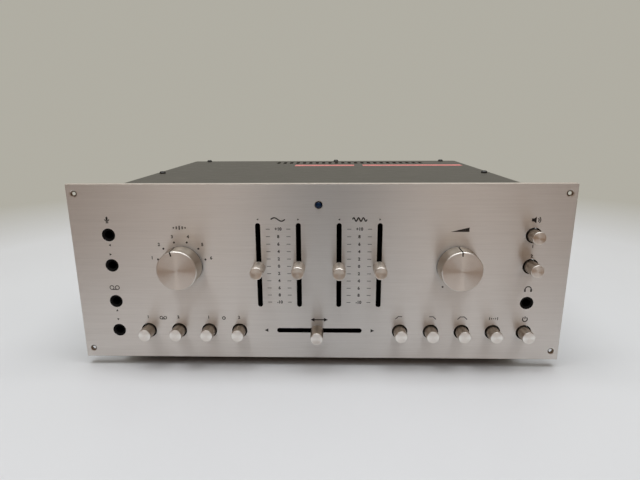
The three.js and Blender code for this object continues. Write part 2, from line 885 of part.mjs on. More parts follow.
// About the middle of its bracket, which lies on the chassis floor
function powerTransformer() {
  const bottom = insideFloor + bracketSheet;
  const coilMiddle = bottom + coreHeight / 2;
  const coilSpan = around(coilMiddle, coilHeight / 2);
  return joined([
    block(around(0, coreWidth / 2), around(0, bracketDepth / 2), [insideFloor, bottom + seatGap]),
    block(around(0, coreWidth / 2), around(0, coreDepth / 2), [bottom, bottom + coreHeight]),
    alongZ(
      roundedOutline(around(0, coilWidth / 2), around(0, coilDepth / 2), coilRound),
      coilSpan,
    ),
  ]);
}

// Two cans in one clamp plate
function filterCapacitors() {
  const half = capacitorSpacing / 2;
  const bottom = insideFloor + bracketSheet;
  const top = bottom + capacitorHeight;
  const can = () => turnedUpright([
    [0, insideFloor],
    [capacitorRadius, insideFloor],
    [capacitorRadius, top],
    [capacitorRadius - capacitorRim, top],
    [capacitorRadius - capacitorRim, top - capacitorRim],
    [0, top - capacitorRim],
  ], roundSides);
  const plate = block(
    around(0, half + capacitorRadius + clampMargin),
    around(0, capacitorRadius + clampMargin),
    [insideFloor, bottom],
  );
  return joined([plate, can().translate(-half, 0, 0), can().translate(half, 0, 0)]);
}

function heatSink() {
  const [left, right] = around(coverVentMiddle, coverVentSpan / 2);
  const step = (right - left - finThickness) / (finCount - 1);
  const back = heatSinkBack;
  const root = back - heatSinkBase;
  const tip = back - heatSinkDepth;
  const fins = Array.from({ length: finCount }, (_, index) => {
    const start = left + index * step;
    const end = start + finThickness;
    return [[start, root], [start, tip], [end, tip], [end, root]];
  }).flat();
  const plan = outlineOf([[left, back], ...fins, [right, back]]);
  return alongZ(plan, [insideFloor, insideFloor + heatSinkHeight]);
}

function mainBoard() {
  const bottom = insideFloor + boardPostHeight;
  const top = bottom + boardThickness;
  const columns = [boardLeft + boardPostInset, boardRight - boardPostInset];
  const rows = [boardFront + boardPostInset, boardRear - boardPostInset];
  const posts = columns.flatMap((x) => rows.map((y) =>
    uprightRod(boardPostRadius, [insideFloor, bottom + seatGap], tinySides, [x, y])));
  const firstPart = boardLeft + partSideInset;
  const partPitch = (boardRight - partSideInset - firstPart) / (partColumns - 1);
  const partRows = [boardFront + partEndInset, boardRear - partEndInset];
  const parts = Array.from({ length: partColumns }, (_, index) => firstPart + index * partPitch)
    .flatMap((x) => partRows.map((y) =>
      uprightRod(partRadius, [bottom, top + partHeight], tinySides, [x, y])));
  const plate = block([boardLeft, boardRight], [boardFront, boardRear], [bottom, top]);
  return joined([plate, ...posts, ...parts]);
}

// Back of the amplifier

function gridSpots(middle, rise, columns, columnPitch, rows, rowPitch) {
  const places = (count, centre, pitch) =>
    Array.from({ length: count }, (_, index) => centre + (index - (count - 1) / 2) * pitch);
  return places(rows, rise, rowPitch).flatMap((z) =>
    places(columns, middle, columnPitch).map((x) => [x, z]));
}

const socketSpots = gridSpots(
  socketStripMiddle, stripRise, socketColumns, socketPitch, socketRows, socketRowPitch,
);
const terminalSpots = gridSpots(
  terminalStripMiddle, stripRise, terminalColumns, terminalPitch, terminalRows, terminalRowPitch,
);

function rearPanel() {
  const blank = joined([
    block([-trayHalf, trayHalf], [rearPanelFront, rearPanelBack], [trayBottom, trayTop]),
    block(
      [-flangeHalf, flangeHalf],
      [rearPanelFront - flangeDepth, rearPanelBack],
      [trayTop - sheet, trayTop],
    ),
  ]);
  const through = [rearPanelFront - overrun, rearPanelBack + overrun];
  return cutFrom(blank, [
    moulding(socketSpots, socketMargin, through, fitGap),
    moulding(terminalSpots, terminalMargin, through, fitGap),
    rod(glandRadius + fitGap, through, roundSides, [glandColumn, onPanel(glandRise)]),
    ...coverScrewSpots.slice(2).map((spot) =>
      uprightRod(screwHoleRadius, [trayTop - sheet - overrun, trayTop + overrun], tinySides, spot)),
  ]);
}

// A block round a grid of spots that runs past the outermost by a margin
function gridBlock(spots, margin, ySpan) {
  const [low, high] = [spots[0], spots[spots.length - 1]];
  return block(
    [low[0] - margin, high[0] + margin],
    ySpan,
    [low[1] - margin, high[1] + margin],
  );
}

// The moulded body behind a strip's plate, or with slack the window that it passes through
function moulding(spots, margin, ySpan, slack) {
  return gridBlock(spots, margin - mouldingInset + slack, ySpan);
}

// A strip's plate outside the rear panel and its moulded body through it
function stripBase(spots, margin) {
  const bodySpan = [rearPanelFront - mouldingDepth, stripBack];
  return [
    gridBlock(spots, margin, [stripFront, stripBack]),
    moulding(spots, margin, bodySpan, 0),
  ];
}

function rcaSocketStrip() {
  const socket = () => turned([
    [0, stripFront + seatGap],
    [collarRadius, stripFront + seatGap],
    [collarRadius, stripBack + collarThickness],
    [socketRadius, stripBack + collarThickness],
    [socketRadius, stripBack + socketReach],
    [socketBoreRadius, stripBack + socketReach],
    [socketBoreRadius, stripBack + socketReach - socketBoreDepth],
    [0, stripBack + socketReach - socketBoreDepth],
  ], tinySides);
  return joined([
    ...stripBase(socketSpots, socketMargin),
    ...socketSpots.map(([x, z]) => socket().translate(x, 0, z)),
  ]);
}

function speakerTerminals() {
  const post = () => turned([
    [0, stripFront + seatGap],
    [terminalNeckRadius, stripFront + seatGap],
    [terminalNeckRadius, stripBack + terminalNeckLength],
    [terminalRadius, stripBack + terminalNeckLength],
    [terminalRadius, stripBack + terminalReach - terminalBevel],
    [terminalRadius - terminalBevel, stripBack + terminalReach],
    [0, stripBack + terminalReach],
  ], tinySides);
  return joined([
    ...stripBase(terminalSpots, terminalMargin),
    ...terminalSpots.map(([x, z]) => post().translate(x, 0, z)),
  ]);
}

// The bushing that the power cord would leave by, about its axis
function cordGland() {
  const front = rearPanelFront - glandTail;
  const flange = stripFront + glandFlangeThickness;
  const back = stripFront + glandReach;
  return turned([
    [glandBoreRadius, front],
    [glandRadius, front],
    [glandRadius, stripFront],
    [glandFlangeRadius, stripFront],
    [glandFlangeRadius, flange],
    [glandRadius, flange],
    [glandNoseRadius, back],
    [glandBoreRadius, back],
    [glandBoreRadius, front],
  ], roundSides);
}

// Finishes, as colour, roughness and metalness
const finishes = {
  panelAluminium: [0xbcb2a6, 0.38, 0.9],
  knobAluminium: [0xcfc8be, 0.3, 0.95],
  blackSteel: [0x1c1b1a, 0.6, 0.4],
  zincSteel: [0xa3a29a, 0.45, 0.85],
  coverPaint: [0x4a4a48, 0.5, 0.1],
  blackPlastic: [0x0e0e0f, 0.35, 0],
  switchPlastic: [0x2b2b2d, 0.5, 0],
  blueJewel: [0x123c86, 0.1, 0],
  darkRubber: [0x161616, 0.85, 0],
  coreSteel: [0x3a3733, 0.55, 0.5],
  canAluminium: [0x9fa4a8, 0.35, 0.8],
  blackAnodised: [0x202022, 0.5, 0.5],
  circuitBoard: [0x6b4a25, 0.6, 0],
  socketPlate: [0x7a5a34, 0.55, 0],
  screwBlack: [0x151515, 0.4, 0.6],
};

function finish(name) {
  const [color, roughness, metalness] = finishes[name];
  return new THREE.MeshStandardMaterial({ color, roughness, metalness });
}

// The assembly. Inside it, Y starts at the front panel's face.
const amplifier = new THREE.Group();
const assembly = new THREE.Group();
assembly.position.y = -(frontmost + rearmost) / 2;
amplifier.add(assembly);

function addPiece(name, geometry, finishName, [x, y, z] = [0, 0, 0]) {
  const piece = new THREE.Mesh(geometry, finish(finishName));
  piece.name = name;
  piece.position.set(x, y, z);
  assembly.add(piece);
  return piece;
}

function addPanels() {
  addPiece("front_panel", frontPanel(), "panelAluminium");
  addPiece("sub_panel", subPanel(), "blackSteel");
  addPiece("pilot_lens", pilotLens(), "blueJewel", [pilotSpot[0], 0, pilotSpot[1]]);
}

function addRotaryControls() {
  const [[selectorX, selectorZ], [volumeX, volumeZ]] = knobSpots;
  const selectorPlace = [selectorX, 0, selectorZ];
  const volumePlace = [volumeX, 0, volumeZ];
  const selectorKnob = addPiece("selector_knob", bigKnob(), "knobAluminium", selectorPlace);
  selectorKnob.rotation.y = THREE.MathUtils.degToRad(selectorRestDegrees);
  addPiece("selector_shaft", knobShaft(), "zincSteel", selectorPlace);
  addPiece("selector_switch", selectorSwitch(), "switchPlastic", selectorPlace);
  const volumeKnob = addPiece("volume_knob", bigKnob(), "knobAluminium", volumePlace);
  volumeKnob.rotation.y = THREE.MathUtils.degToRad(volumeRestDegrees);
  addPiece("volume_shaft", knobShaft(), "zincSteel", volumePlace);
  addPiece("volume_control", volumeControl(), "zincSteel", volumePlace);
}

function addSlidingControls() {
  ["bass_left", "bass_right", "treble_left", "treble_right"].forEach((name, index) => {
    const place = [toneColumns[index], 0, slotMiddle + toneRestOffsets[index]];
    addPiece(name + "_knob", sliderKnob(), "knobAluminium", place);
    addPiece(name + "_lever", sliderLever(), "blackSteel", place);
  });
  const middle = [0, 0, slotMiddle];
  addPiece("bass_slide_unit", slideUnit(toneColumns.slice(0, 2)), "blackSteel", middle);
  addPiece("treble_slide_unit", slideUnit(toneColumns.slice(2)), "blackSteel", middle);
  const balancePlace = [balanceRestOffset, 0, onPanel(balanceRow)];
  const balancePieces = [
    addPiece("balance_knob", sliderKnob(), "knobAluminium", balancePlace),
    addPiece("balance_lever", sliderLever(), "blackSteel", balancePlace),
    addPiece("balance_slide_unit", slideUnit([0]), "blackSteel", [0, 0, onPanel(balanceRow)]),
  ];
  for (const piece of balancePieces) piece.rotation.y = Math.PI / 2;
}

function addButtons() {
  const addButton = (name, [x, z], reach) =>
    addPiece(name, pushButton(), "knobAluminium", [x, -reach, z]);
  leftButtonSpots.forEach((spot, index) =>
    addButton("left_button_" + (index + 1), spot, buttonReach));
  rightButtonSpots.forEach((spot, index) =>
    addButton("right_button_" + (index + 1), spot, buttonReach));
  addButton("power_button", powerSpot, buttonReach);
  addButton("speaker_button_1", speakerSpots[0], latchedButtonReach);
  addButton("speaker_button_2", speakerSpots[1], releasedButtonReach);
  addPiece("left_switch_bank", leftSwitchBank(), "switchPlastic");
  addPiece("right_switch_bank", rightSwitchBank(), "switchPlastic");
  addPiece("speaker_switch_bank", speakerSwitchBank(), "switchPlastic");
}

function addJacks() {
  const leftNames = [
    "microphone_jack_left", "microphone_jack_right", "dubbing_out_jack", "dubbing_in_jack",
  ];
  leftNames.forEach((name, index) => {
    const [x, z] = leftJackSpots[index];
    addPiece(name, jack(1), "blackPlastic", [x, 0, z]);
  });
  addPiece("phones_jack", jack(-1), "blackPlastic", [phonesSpot[0], 0, phonesSpot[1]]);
}

function addChassis() {
  addPiece("chassis_tray", chassisTray(), "blackSteel");
  addPiece("rear_panel", rearPanel(), "zincSteel");
  addPiece("top_cover", topCover(), "coverPaint");
  coverScrewSpots.forEach(([x, y], index) =>
    addPiece("cover_screw_" + (index + 1), coverScrew(), "screwBlack", [x, y, coverTop]));
  const footSpots = {
    foot_front_left: [-footColumn, frontFootInset],
    foot_front_right: [footColumn, frontFootInset],
    foot_rear_left: [-footColumn, rearFootReach],
    foot_rear_right: [footColumn, rearFootReach],
  };
  for (const [name, [x, y]] of Object.entries(footSpots)) {
    addPiece(name, foot(), "darkRubber", [x, y, 0]);
  }
}

function addInside() {
  const transformerPlace = [transformerColumn, transformerReach, 0];
  const capacitorPlace = [transformerColumn, capacitorReach, 0];
  addPiece("power_transformer", powerTransformer(), "coreSteel", transformerPlace);
  addPiece("filter_capacitors", filterCapacitors(), "canAluminium", capacitorPlace);
  addPiece("heat_sink", heatSink(), "blackAnodised");
  addPiece("main_board", mainBoard(), "circuitBoard");
}

function addBack() {
  addPiece("rca_socket_strip", rcaSocketStrip(), "socketPlate");
  addPiece("speaker_terminals", speakerTerminals(), "blackPlastic");
  addPiece("cord_gland", cordGland(), "blackPlastic", [glandColumn, 0, onPanel(glandRise)]);
}

addPanels();
addRotaryControls();
addSlidingControls();
addButtons();
addJacks();
addChassis();
addInside();
addBack();

export default amplifier;
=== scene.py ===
import json
import math

import bmesh
import bpy
from mathutils import Matrix, Vector
from mathutils.geometry import tessellate_polygon


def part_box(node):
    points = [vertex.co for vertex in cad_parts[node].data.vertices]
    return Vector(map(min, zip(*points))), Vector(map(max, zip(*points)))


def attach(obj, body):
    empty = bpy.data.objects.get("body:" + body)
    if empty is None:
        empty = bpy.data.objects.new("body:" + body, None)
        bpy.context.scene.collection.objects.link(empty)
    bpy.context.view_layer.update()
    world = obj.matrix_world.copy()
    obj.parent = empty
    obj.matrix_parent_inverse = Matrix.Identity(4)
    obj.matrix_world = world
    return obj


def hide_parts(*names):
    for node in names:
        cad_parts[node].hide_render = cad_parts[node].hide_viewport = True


# An integrated amplifier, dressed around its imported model.
# Sizes are in millimetres unless a name says otherwise.
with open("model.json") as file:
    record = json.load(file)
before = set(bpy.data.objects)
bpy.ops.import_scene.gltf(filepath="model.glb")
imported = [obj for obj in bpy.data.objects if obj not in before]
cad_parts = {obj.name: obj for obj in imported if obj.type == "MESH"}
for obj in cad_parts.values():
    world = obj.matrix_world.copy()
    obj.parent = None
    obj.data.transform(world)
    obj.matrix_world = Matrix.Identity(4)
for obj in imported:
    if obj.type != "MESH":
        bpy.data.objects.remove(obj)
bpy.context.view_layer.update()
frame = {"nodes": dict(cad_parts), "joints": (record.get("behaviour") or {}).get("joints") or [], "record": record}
scene = bpy.context.scene
mm = 0.001
print("frame loaded")


# Places taken from the frame

def nodeBox(name):
    low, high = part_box(name)
    return low / mm, high / mm


def nodeMiddle(name):
    low, high = nodeBox(name)
    return (low + high) / 2


def nodeRadius(name):
    low, high = nodeBox(name)
    return (high.z - low.z) / 2


def openingMiddle(name):
    found = next(o for o in frame["record"]["physics"]["openings"] if o["name"] == name)
    low, high = [Vector(corner) / mm for corner in found["box_m"]]
    return (low + high) / 2


def jointPlace(name):
    found = next(j for j in frame["joints"] if j["name"] == name)
    return Vector(found["pos_m"]) / mm


panelLow, panelHigh = nodeBox("front_panel")
faceY = panelLow.y
leftButtons = ["left_button_" + str(number) for number in range(1, 5)]
rightButtons = ["right_button_" + str(number) for number in range(1, 5)] + ["power_button"]
allButtons = leftButtons + rightButtons + ["speaker_button_1", "speaker_button_2"]
toneNames = ["bass_left", "bass_right", "treble_left", "treble_right"]
screwNames = ["cover_screw_" + str(number) for number in range(1, 6)]
jackOpenings = {
    "microphone_jack_left": "microphone_left_bore", "microphone_jack_right": "microphone_right_bore",
    "dubbing_out_jack": "dubbing_out_bore", "dubbing_in_jack": "dubbing_in_bore",
    "phones_jack": "phones_bore",
}


# Building meshes. A form is a bag of points and faces, each face with a tint, the number of its finish.

meshSizes = {"onAxis": 1e-6, "leastRound": 0.02, "weld": 0.0005, "carvedTints": 4, "sharpAngle": 38}
turnedAlong = {"Y": Matrix.Identity(3), "Z": Matrix.Rotation(math.pi / 2, 3, "X")}


def newForm():
    return {"points": [], "faces": [], "tints": []}


def addFaces(form, points, faces, tint=0, place=(0, 0, 0), turn=None):
    start = len(form["points"])
    for point in points:
        moved = turn @ Vector(point) if turn else Vector(point)
        form["points"].append(moved + Vector(place))
    form["faces"].extend([start + index for index in face] for face in faces)
    form["tints"].extend(tint if isinstance(tint, list) else [tint] * len(faces))


# Turns [radius, along] pairs about an axis. A third value in a pair is the depth of a knurl.
def addTurned(form, profile, sides=48, place=(0, 0, 0), axis="Y", tint=0, bandTints=None):
    points, faces, tints, rings = [], [], [], []
    for radius, along, *knurl in profile:
        if radius < meshSizes["onAxis"]:
            rings.append([len(points)])
            points.append((0, along, 0))
            continue
        rings.append(range(len(points), len(points) + sides))
        for step in range(sides):
            reach = radius - (knurl[0] if knurl and step % 2 else 0)
            angle = 2 * math.pi * step / sides
            points.append((reach * math.cos(angle), along, reach * math.sin(angle)))
    pairs = list(zip(rings, rings[1:]))
    if len(rings[0]) > 1 and len(rings[-1]) > 1:
        pairs.append((rings[-1], rings[0]))  # a ring closes on itself
    for band, (near, far) in enumerate(pairs):
        for step in range(sides):
            following = (step + 1) % sides
            corners = [near[step % len(near)], near[following % len(near)],
                       far[following % len(far)], far[step % len(far)]]
            face = list(dict.fromkeys(corners))
            if len(face) > 2:
                faces.append(face)
                tints.append(bandTints[band] if bandTints else tint)
    addFaces(form, points, faces, tints, place, turnedAlong[axis])


# Rounds the corners of a profile: each is [radius, along, rounding].
def filleted(corners, steps=4):
    points = []
    for index, (x, y, rounding) in enumerate(corners):
        here = Vector((x, y))
        if not rounding or index in (0, len(corners) - 1):
            points.append((x, y))
            continue
        before = (Vector(corners[index - 1][:2]) - here).normalized()
        after = (Vector(corners[index + 1][:2]) - here).normalized()
        half = before.angle(after) / 2
        middle = here + (before + after).normalized() * (rounding / math.sin(half))
        start = here + before * (rounding / math.tan(half)) - middle
        end = here + after * (rounding / math.tan(half)) - middle
        sweep = math.atan2(start.x * end.y - start.y * end.x, start.dot(end))
        for step in range(steps + 1):
            cos, sin = math.cos(sweep * step / steps), math.sin(sweep * step / steps)
            points.append((middle.x + start.x * cos - start.y * sin,
                           middle.y + start.x * sin + start.y * cos))
    return points


def addBlock(form, low, high, bevel=0.3, steps=2, tint=0, turn=None):
    work = bmesh.new()
    bmesh.ops.create_cube(work, size=1)
    for corner in work.verts:
        corner.co = [(a + b) / 2 + c * (b - a) for a, b, c in zip(low, high, corner.co)]
    if bevel:
        bmesh.ops.bevel(work, geom=work.edges[:], offset=bevel, segments=steps, profile=0.5, affect="EDGES")
    work.verts.index_update()
    points = [corner.co.copy() for corner in work.verts]
    faces = [[corner.index for corner in face.verts] for face in work.faces]
    work.free()
    addFaces(form, points, faces, tint, turn=turn)


# Outlines are functions of how far they grow outwards

def circleOutline(x, y, radius, sides=40):
    def outline(grow):
        angles = [2 * math.pi * step / sides for step in range(sides)]
        return [(x + (radius + grow) * math.cos(a), y + (radius + grow) * math.sin(a)) for a in angles]
    return outline


def slotOutline(x, y, width, length, level=False, steps=10):
    reach = (length - width) / 2

    def outline(grow):
        points = []
        for end, start in ((1, 0), (-1, math.pi)):
            for step in range(steps + 1):
                angle = start + math.pi * step / steps
                across = (width / 2 + grow) * math.cos(angle)
                along = end * reach + (width / 2 + grow) * math.sin(angle)
                points.append((x - along, y + across) if level else (x + across, y + along))
        return points
    return outline


# Corner radii run anticlockwise from the lower right.
def rectangleOutline(left, right, low, high, radii=(0.05,) * 4, steps=6):
    corners = ((right, low, 1, -1, -0.5), (right, high, 1, 1, 0),
               (left, high, -1, 1, 0.5), (left, low, -1, -1, 1))

    def outline(grow):
        points = []
        for (x, y, sideX, sideY, start), radius in zip(corners, radii):
            rounding = max(radius + grow, meshSizes["leastRound"])
            for step in range(steps + 1):
                angle = math.pi * (start + 0.5 * step / steps)
                points.append((x + sideX * (grow - rounding) + rounding * math.cos(angle),
                               y + sideY * (grow - rounding) + rounding * math.sin(angle)))
        return points
    return outline


# Grow and depth pairs of a rounded edge: side 1 is a hole's and -1 an outer edge's.
def edgeRound(radius, side=1, steps=3):
    angles = [math.pi / 2 * step / steps for step in range(steps + 1)]
    return [(side * radius * (1 - math.sin(a)), radius * (1 - math.cos(a))) for a in angles]


# A plate between the first and last pairs of its loops' profiles; lay puts u, v and depth in space.
# A loop's third value, where it has one, holds the tints of its bands.
def addPlate(form, loops, lay):
    points, faces, tints, nearCap, farCap = [], [], [], [], []
    for outline, profile, *bandTints in loops:
        rows = []
        for grow, depth in profile:
            ring = outline(grow)
            rows.append(range(len(points), len(points) + len(ring)))
            points.extend(lay(u, v, depth) for u, v in ring)
        for band, (near, far) in enumerate(zip(rows, rows[1:])):
            for step in range(len(near)):
                following = (step + 1) % len(near)
                faces.append([near[step], near[following], far[following], far[step]])
                tints.append(bandTints[0][band] if bandTints else 0)
        nearCap.append((outline(profile[0][0]), rows[0]))
        farCap.append((outline(profile[-1][0]), rows[-1]))
    for cap in (nearCap, farCap):
        indices = [index for _, row in cap for index in row]
        rings = [[Vector((u, v, 0)) for u, v in ring] for ring, _ in cap]
        for triangle in tessellate_polygon(rings):
            faces.append([indices[corner] for corner in triangle])
            tints.append(0)
    addFaces(form, points, faces, tints)


# Tints of a turned knob: 0 on its face and back, 1 on its face's cut edge, 2 on its side, 3 on its foot.
def turnedTints(profile, front, depth, inner, foot=math.inf):
    tints = []
    for (firstRadius, firstAlong), (lastRadius, lastAlong) in zip(profile, profile[1:]):
        along = (firstAlong + lastAlong) / 2
        if min(firstRadius, lastRadius) < inner or along <= front:
            tints.append(0)
        else:
            tints.append(1 if along < front + depth else 2 if along < foot else 3)
    return tints + [0]


def meshFrom(form, name, slots, scale=mm):
    mesh = bpy.data.meshes.new(name)
    mesh.from_pydata([point * scale for point in form["points"]], [], form["faces"])
    for finish in slots:
        mesh.materials.append(finish)
    mesh.polygons.foreach_set("material_index", form["tints"])
    work = bmesh.new()
    work.from_mesh(mesh)
    bmesh.ops.remove_doubles(work, verts=work.verts, dist=meshSizes["weld"] * scale)
    bmesh.ops.recalc_face_normals(work, faces=work.faces)
    work.to_mesh(mesh)
    work.free()
    return mesh


# Cuts forms from another one; the cut faces take the cutters' tints.
def carved(form, *cutters):
    made = []
    for part in (form, *cutters):
        mesh = meshFrom(part, "carving", [None] * meshSizes["carvedTints"], 1)
        thing = bpy.data.objects.new("carving", mesh)
        scene.collection.objects.link(thing)
        made.append(thing)
    for cutter in made[1:]:
        cut = made[0].modifiers.new("cut", "BOOLEAN")
        cut.operation = "DIFFERENCE"
        cut.solver = "EXACT"
        cut.object = cutter
    shaped = made[0].evaluated_get(bpy.context.evaluated_depsgraph_get())
    mesh = shaped.to_mesh()
    result = newForm()
    addFaces(result, [corner.co.copy() for corner in mesh.vertices],
             [list(face.vertices) for face in mesh.polygons],
             [face.material_index for face in mesh.polygons])
    shaped.to_mesh_clear()
    for thing in made:
        bpy.data.objects.remove(thing)
    return result


# Makes an object of a form and lets it ride on a body, in place of one of the frame's plainer nodes.
def placePiece(form, name, kinds, body="chassis", replacing=None, place=(0, 0, 0), turn=(0, 0, 0)):
    kinds = (kinds,) if isinstance(kinds, str) else kinds
    mesh = meshFrom(form, name, [finishes[kind] for kind in kinds])
    mesh.shade_smooth()
    mesh.set_sharp_from_angle(angle=math.radians(meshSizes["sharpAngle"]))
    piece = bpy.data.objects.new(name, mesh)
    scene.collection.objects.link(piece)
    piece.location = Vector(place) * mm
    piece.rotation_euler = turn
    shading = piece.modifiers.new("even shading", "WEIGHTED_NORMAL")
    shading.keep_sharp = True
    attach(piece, body)
    if replacing:
        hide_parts(replacing)
    return piece


# Building finishes

def startFinish(name, color, roughness, metallic=0.0, spread=0.0, gloss=0.5):
    finish = bpy.data.materials.new(name)
    finish.use_nodes = True
    shader = finish.node_tree.nodes["Principled BSDF"]
    for socket, value in (("Base Color", (*color, 1)), ("Roughness", roughness), ("Metallic", metallic),
                          ("Anisotropic", spread), ("Specular IOR Level", gloss)):
        shader.inputs[socket].default_value = value
    return finish, finish.node_tree, shader


def addNode(tree, kind, inputs=None, **settings):
    node = tree.nodes.new(kind)
    for setting, value in settings.items():
        setattr(node, setting, value)
    for socket, value in (inputs or {}).items():
        if isinstance(value, bpy.types.NodeSocket):
            tree.links.new(value, node.inputs[socket])
        else:
            node.inputs[socket].default_value = value
    return node


def reckon(tree, operation, *values):
    return addNode(tree, "ShaderNodeMath", dict(enumerate(values)), operation=operation).outputs["Value"]


def feed(shader, color, roughness=None):
    links = shader.id_data.links
    links.new(color, shader.inputs["Base Color"])
    if roughness:
        links.new(roughness, shader.inputs["Roughness"])


# Noise over the piece's own metres; stretch is how many features there are to a metre.
def grain(tree, stretch, detail, rough):
    points = addNode(tree, "ShaderNodeTexCoord").outputs["Object"]
    scale = stretch if isinstance(stretch, tuple) else (stretch,) * 3
    laid = addNode(tree, "ShaderNodeMapping", {"Vector": points, "Scale": scale})
    noise = addNode(tree, "ShaderNodeTexNoise",
                    {"Vector": laid.outputs["Vector"], "Scale": 1.0, "Detail": detail, "Roughness": rough})
    return noise.outputs["Fac"]


# Distance from the piece's own Y axis, which every turned piece of the front has.
def axisDistance(tree):
    points = addNode(tree, "ShaderNodeTexCoord").outputs["Object"]
    across = addNode(tree, "ShaderNodeVectorMath", {0: points, 1: (1, 0, 1)}, operation="MULTIPLY")
    radius = addNode(tree, "ShaderNodeVectorMath", {0: across.outputs[0]}, operation="LENGTH")
    return radius.outputs["Value"]


# Fine rings about that axis, as a lathe leaves them.
def ringGrain(tree, perMetre):
    step = reckon(tree, "MULTIPLY", axisDistance(tree), perMetre)
    noise = addNode(tree, "ShaderNodeTexNoise", {"W": step, "Scale": 1.0, "Detail": 3.0},
                    noise_dimensions="1D")
    return noise.outputs["Fac"]


# A number that follows another one from low to high.
def between(tree, factor, low, high, start=0.3, end=0.7):
    mapped = addNode(tree, "ShaderNodeMapRange", {"Value": factor, "From Min": start, "From Max": end,
                                                  "To Min": low, "To Max": high})
    return mapped.outputs["Result"]


def blendColor(tree, factor, first, second, start=0.35, end=0.65):
    ramp = addNode(tree, "ShaderNodeValToRGB", {"Fac": factor})
    for stop, place, color in zip(ramp.color_ramp.elements, (start, end), (first, second)):
        stop.position = place
        stop.color = (*color, 1)
    return ramp.outputs["Color"]


def mixColor(tree, factor, first, second, kind="MIX"):
    mix = addNode(tree, "ShaderNodeMix", {0: factor, 6: first, 7: second}, data_type="RGBA", blend_type=kind)
    return mix.outputs[2]


# Bump from a noise; depth is in millimetres.
def roughen(tree, shader, height, strength, depth):
    bump = addNode(tree, "ShaderNodeBump", {"Height": height, "Strength": strength, "Distance": depth * mm})
    tree.links.new(bump.outputs["Normal"], shader.inputs["Normal"])


# Lets the metal's grain run round an axis, so that its gloss spreads across it.
def grainAlong(tree, shader, axis):
    tangent = addNode(tree, "ShaderNodeTangent", direction_type="RADIAL", axis=axis)
    tree.links.new(tangent.outputs["Tangent"], shader.inputs["Tangent"])
    shader.inputs["Anisotropic Rotation"].default_value = 0.25  # a quarter turn


# A finish in layers. A noise is its rings to a metre, or its stretch, detail and roughness. Tones are a
# noise with a dark and a light colour and their ends; stains lie over them. Bump depths are millimetres.
def layeredFinish(name, noises, tones, stains=(), rough=None, bump=None, axis=None, **surface):
    source, dark, light, *ramp = tones
    finish, tree, shader = startFinish(name, **{"color": light, "roughness": 0.5, **surface})
    made = {}
    for key, noise in noises.items():
        made[key] = grain(tree, *noise) if isinstance(noise, tuple) else ringGrain(tree, noise)
    color = blendColor(tree, made[source], dark, light, *ramp)
    for source, share, stain, *ends in stains:
        color = mixColor(tree, between(tree, made[source], 0, share, *ends), color, (*stain, 1))
    feed(shader, color, between(tree, made[rough[0]], *rough[1:]) if rough else None)
    if bump:
        roughen(tree, shader, made[bump[0]], *bump[1:])
    if axis:
        grainAlong(tree, shader, axis)
    return finish


looks = {
    "panel": {
        "name": "panel brushed aluminium", "metallic": 1.0, "spread": 0.95, "axis": "Z",
        "noises": {"streaks": ((9, 60, 620), 4.0, 0.6), "fine": ((45, 300, 7000), 2.0, 0.5),
                   "clouds": ((7, 7, 11), 3.0, 0.5)},
        "tones": ("streaks", (0.865, 0.845, 0.82), (0.915, 0.895, 0.87), 0.25, 0.62),
        "stains": (("clouds", 0.5, (0.895, 0.885, 0.87)), ("fine", 0.14, (0.5, 0.47, 0.44))),
        "rough": ("fine", 0.41, 0.47), "bump": ("fine", 0.16, 0.02),
    },
    # the narrow bright edge that a last cut leaves round a turned face
    "cutEdge": {
        "name": "cut edge", "metallic": 1.0, "noises": {"rings": 9000},
        "tones": ("rings", (0.72, 0.69, 0.65), (0.82, 0.80, 0.77), 0.3, 0.6), "rough": ("rings", 0.34, 0.42),
    },
    # the dull black of what lies behind the slots, also laid on the slots' walls; on the walls of the button,
    # jack, lens and corner holes it is painted shade
    "blackAndPaintedShade": {
        "name": "black lining and painted shade", "roughness": 0.9, "gloss": 0.12, "noises": {"flock": (1800, 3.0, 0.6)},
        "tones": ("flock", (0.0015, 0.0015, 0.0015), (0.005, 0.005, 0.005)), "bump": ("flock", 0.4, 0.03),
    },
    "core": {
        "name": "core laminations", "metallic": 0.6,
        "noises": {"sheets": ((3, 2500, 3), 2.0, 0.5), "varnish": (70, 4.0, 0.6)},
        "tones": ("sheets", (0.03, 0.027, 0.024), (0.13, 0.12, 0.11)),
        "stains": (("varnish", 0.5, (0.05, 0.032, 0.015)),), "bump": ("sheets", 0.4, 0.08),
    },
}
spunMetal = {
    "light": (0.86, 0.82, 0.775), "dark": (0.76, 0.71, 0.66), "wearShare": 0.3, "wearEnds": (0.45, 0.75),
    "ramp": (0.2, 0.6), "rough": (0.30, 0.37), "bump": ("rings", 0.14, 0.02),
    "noises": {"rings": 5200, "wear": (260, 4.0, 0.6)},
}


def spunFinish(name, tone, spread=0.98, rougher=0.0):
    metal = spunMetal
    light, dark = ([channel * share for channel, share in zip(metal[shade], tone)]
                   for shade in ("light", "dark"))
    rough = [roughness + rougher for roughness in metal["rough"]]
    return layeredFinish(name, metal["noises"], ("rings", dark, light, *metal["ramp"]),
                         [("wear", metal["wearShare"], dark, *metal["wearEnds"])], ("rings", *rough),
                         metal["bump"], "Y", metallic=1.0, spread=spread)


# Paint, moulding and ink: an even colour with lighter, rougher wear over it and a fine skin.
coats = {
    "paint": {"wear": (60, 5.0, 0.65), "gain": 1.5, "lift": 0.012, "ramp": (0.42, 0.75),
              "rough": (-0.06, 0.12), "skin": (2.0, 0.5), "bump": 0.35},
    "moulding": {"wear": (90, 4.0, 0.6), "gain": 1.35, "lift": 0.006, "ramp": (0.4, 0.72),
                 "rough": (-0.05, 0.13), "skin": (3.0, 0.55), "bump": 0.3},
    "ink": {"wear": (900, 4.0, 0.6), "gain": 1.0, "lift": 0.05, "ramp": (0.45, 0.8),
            "rough": (-0.08, 0.1), "skin": (3.0, 0.55), "bump": 0.0},
}


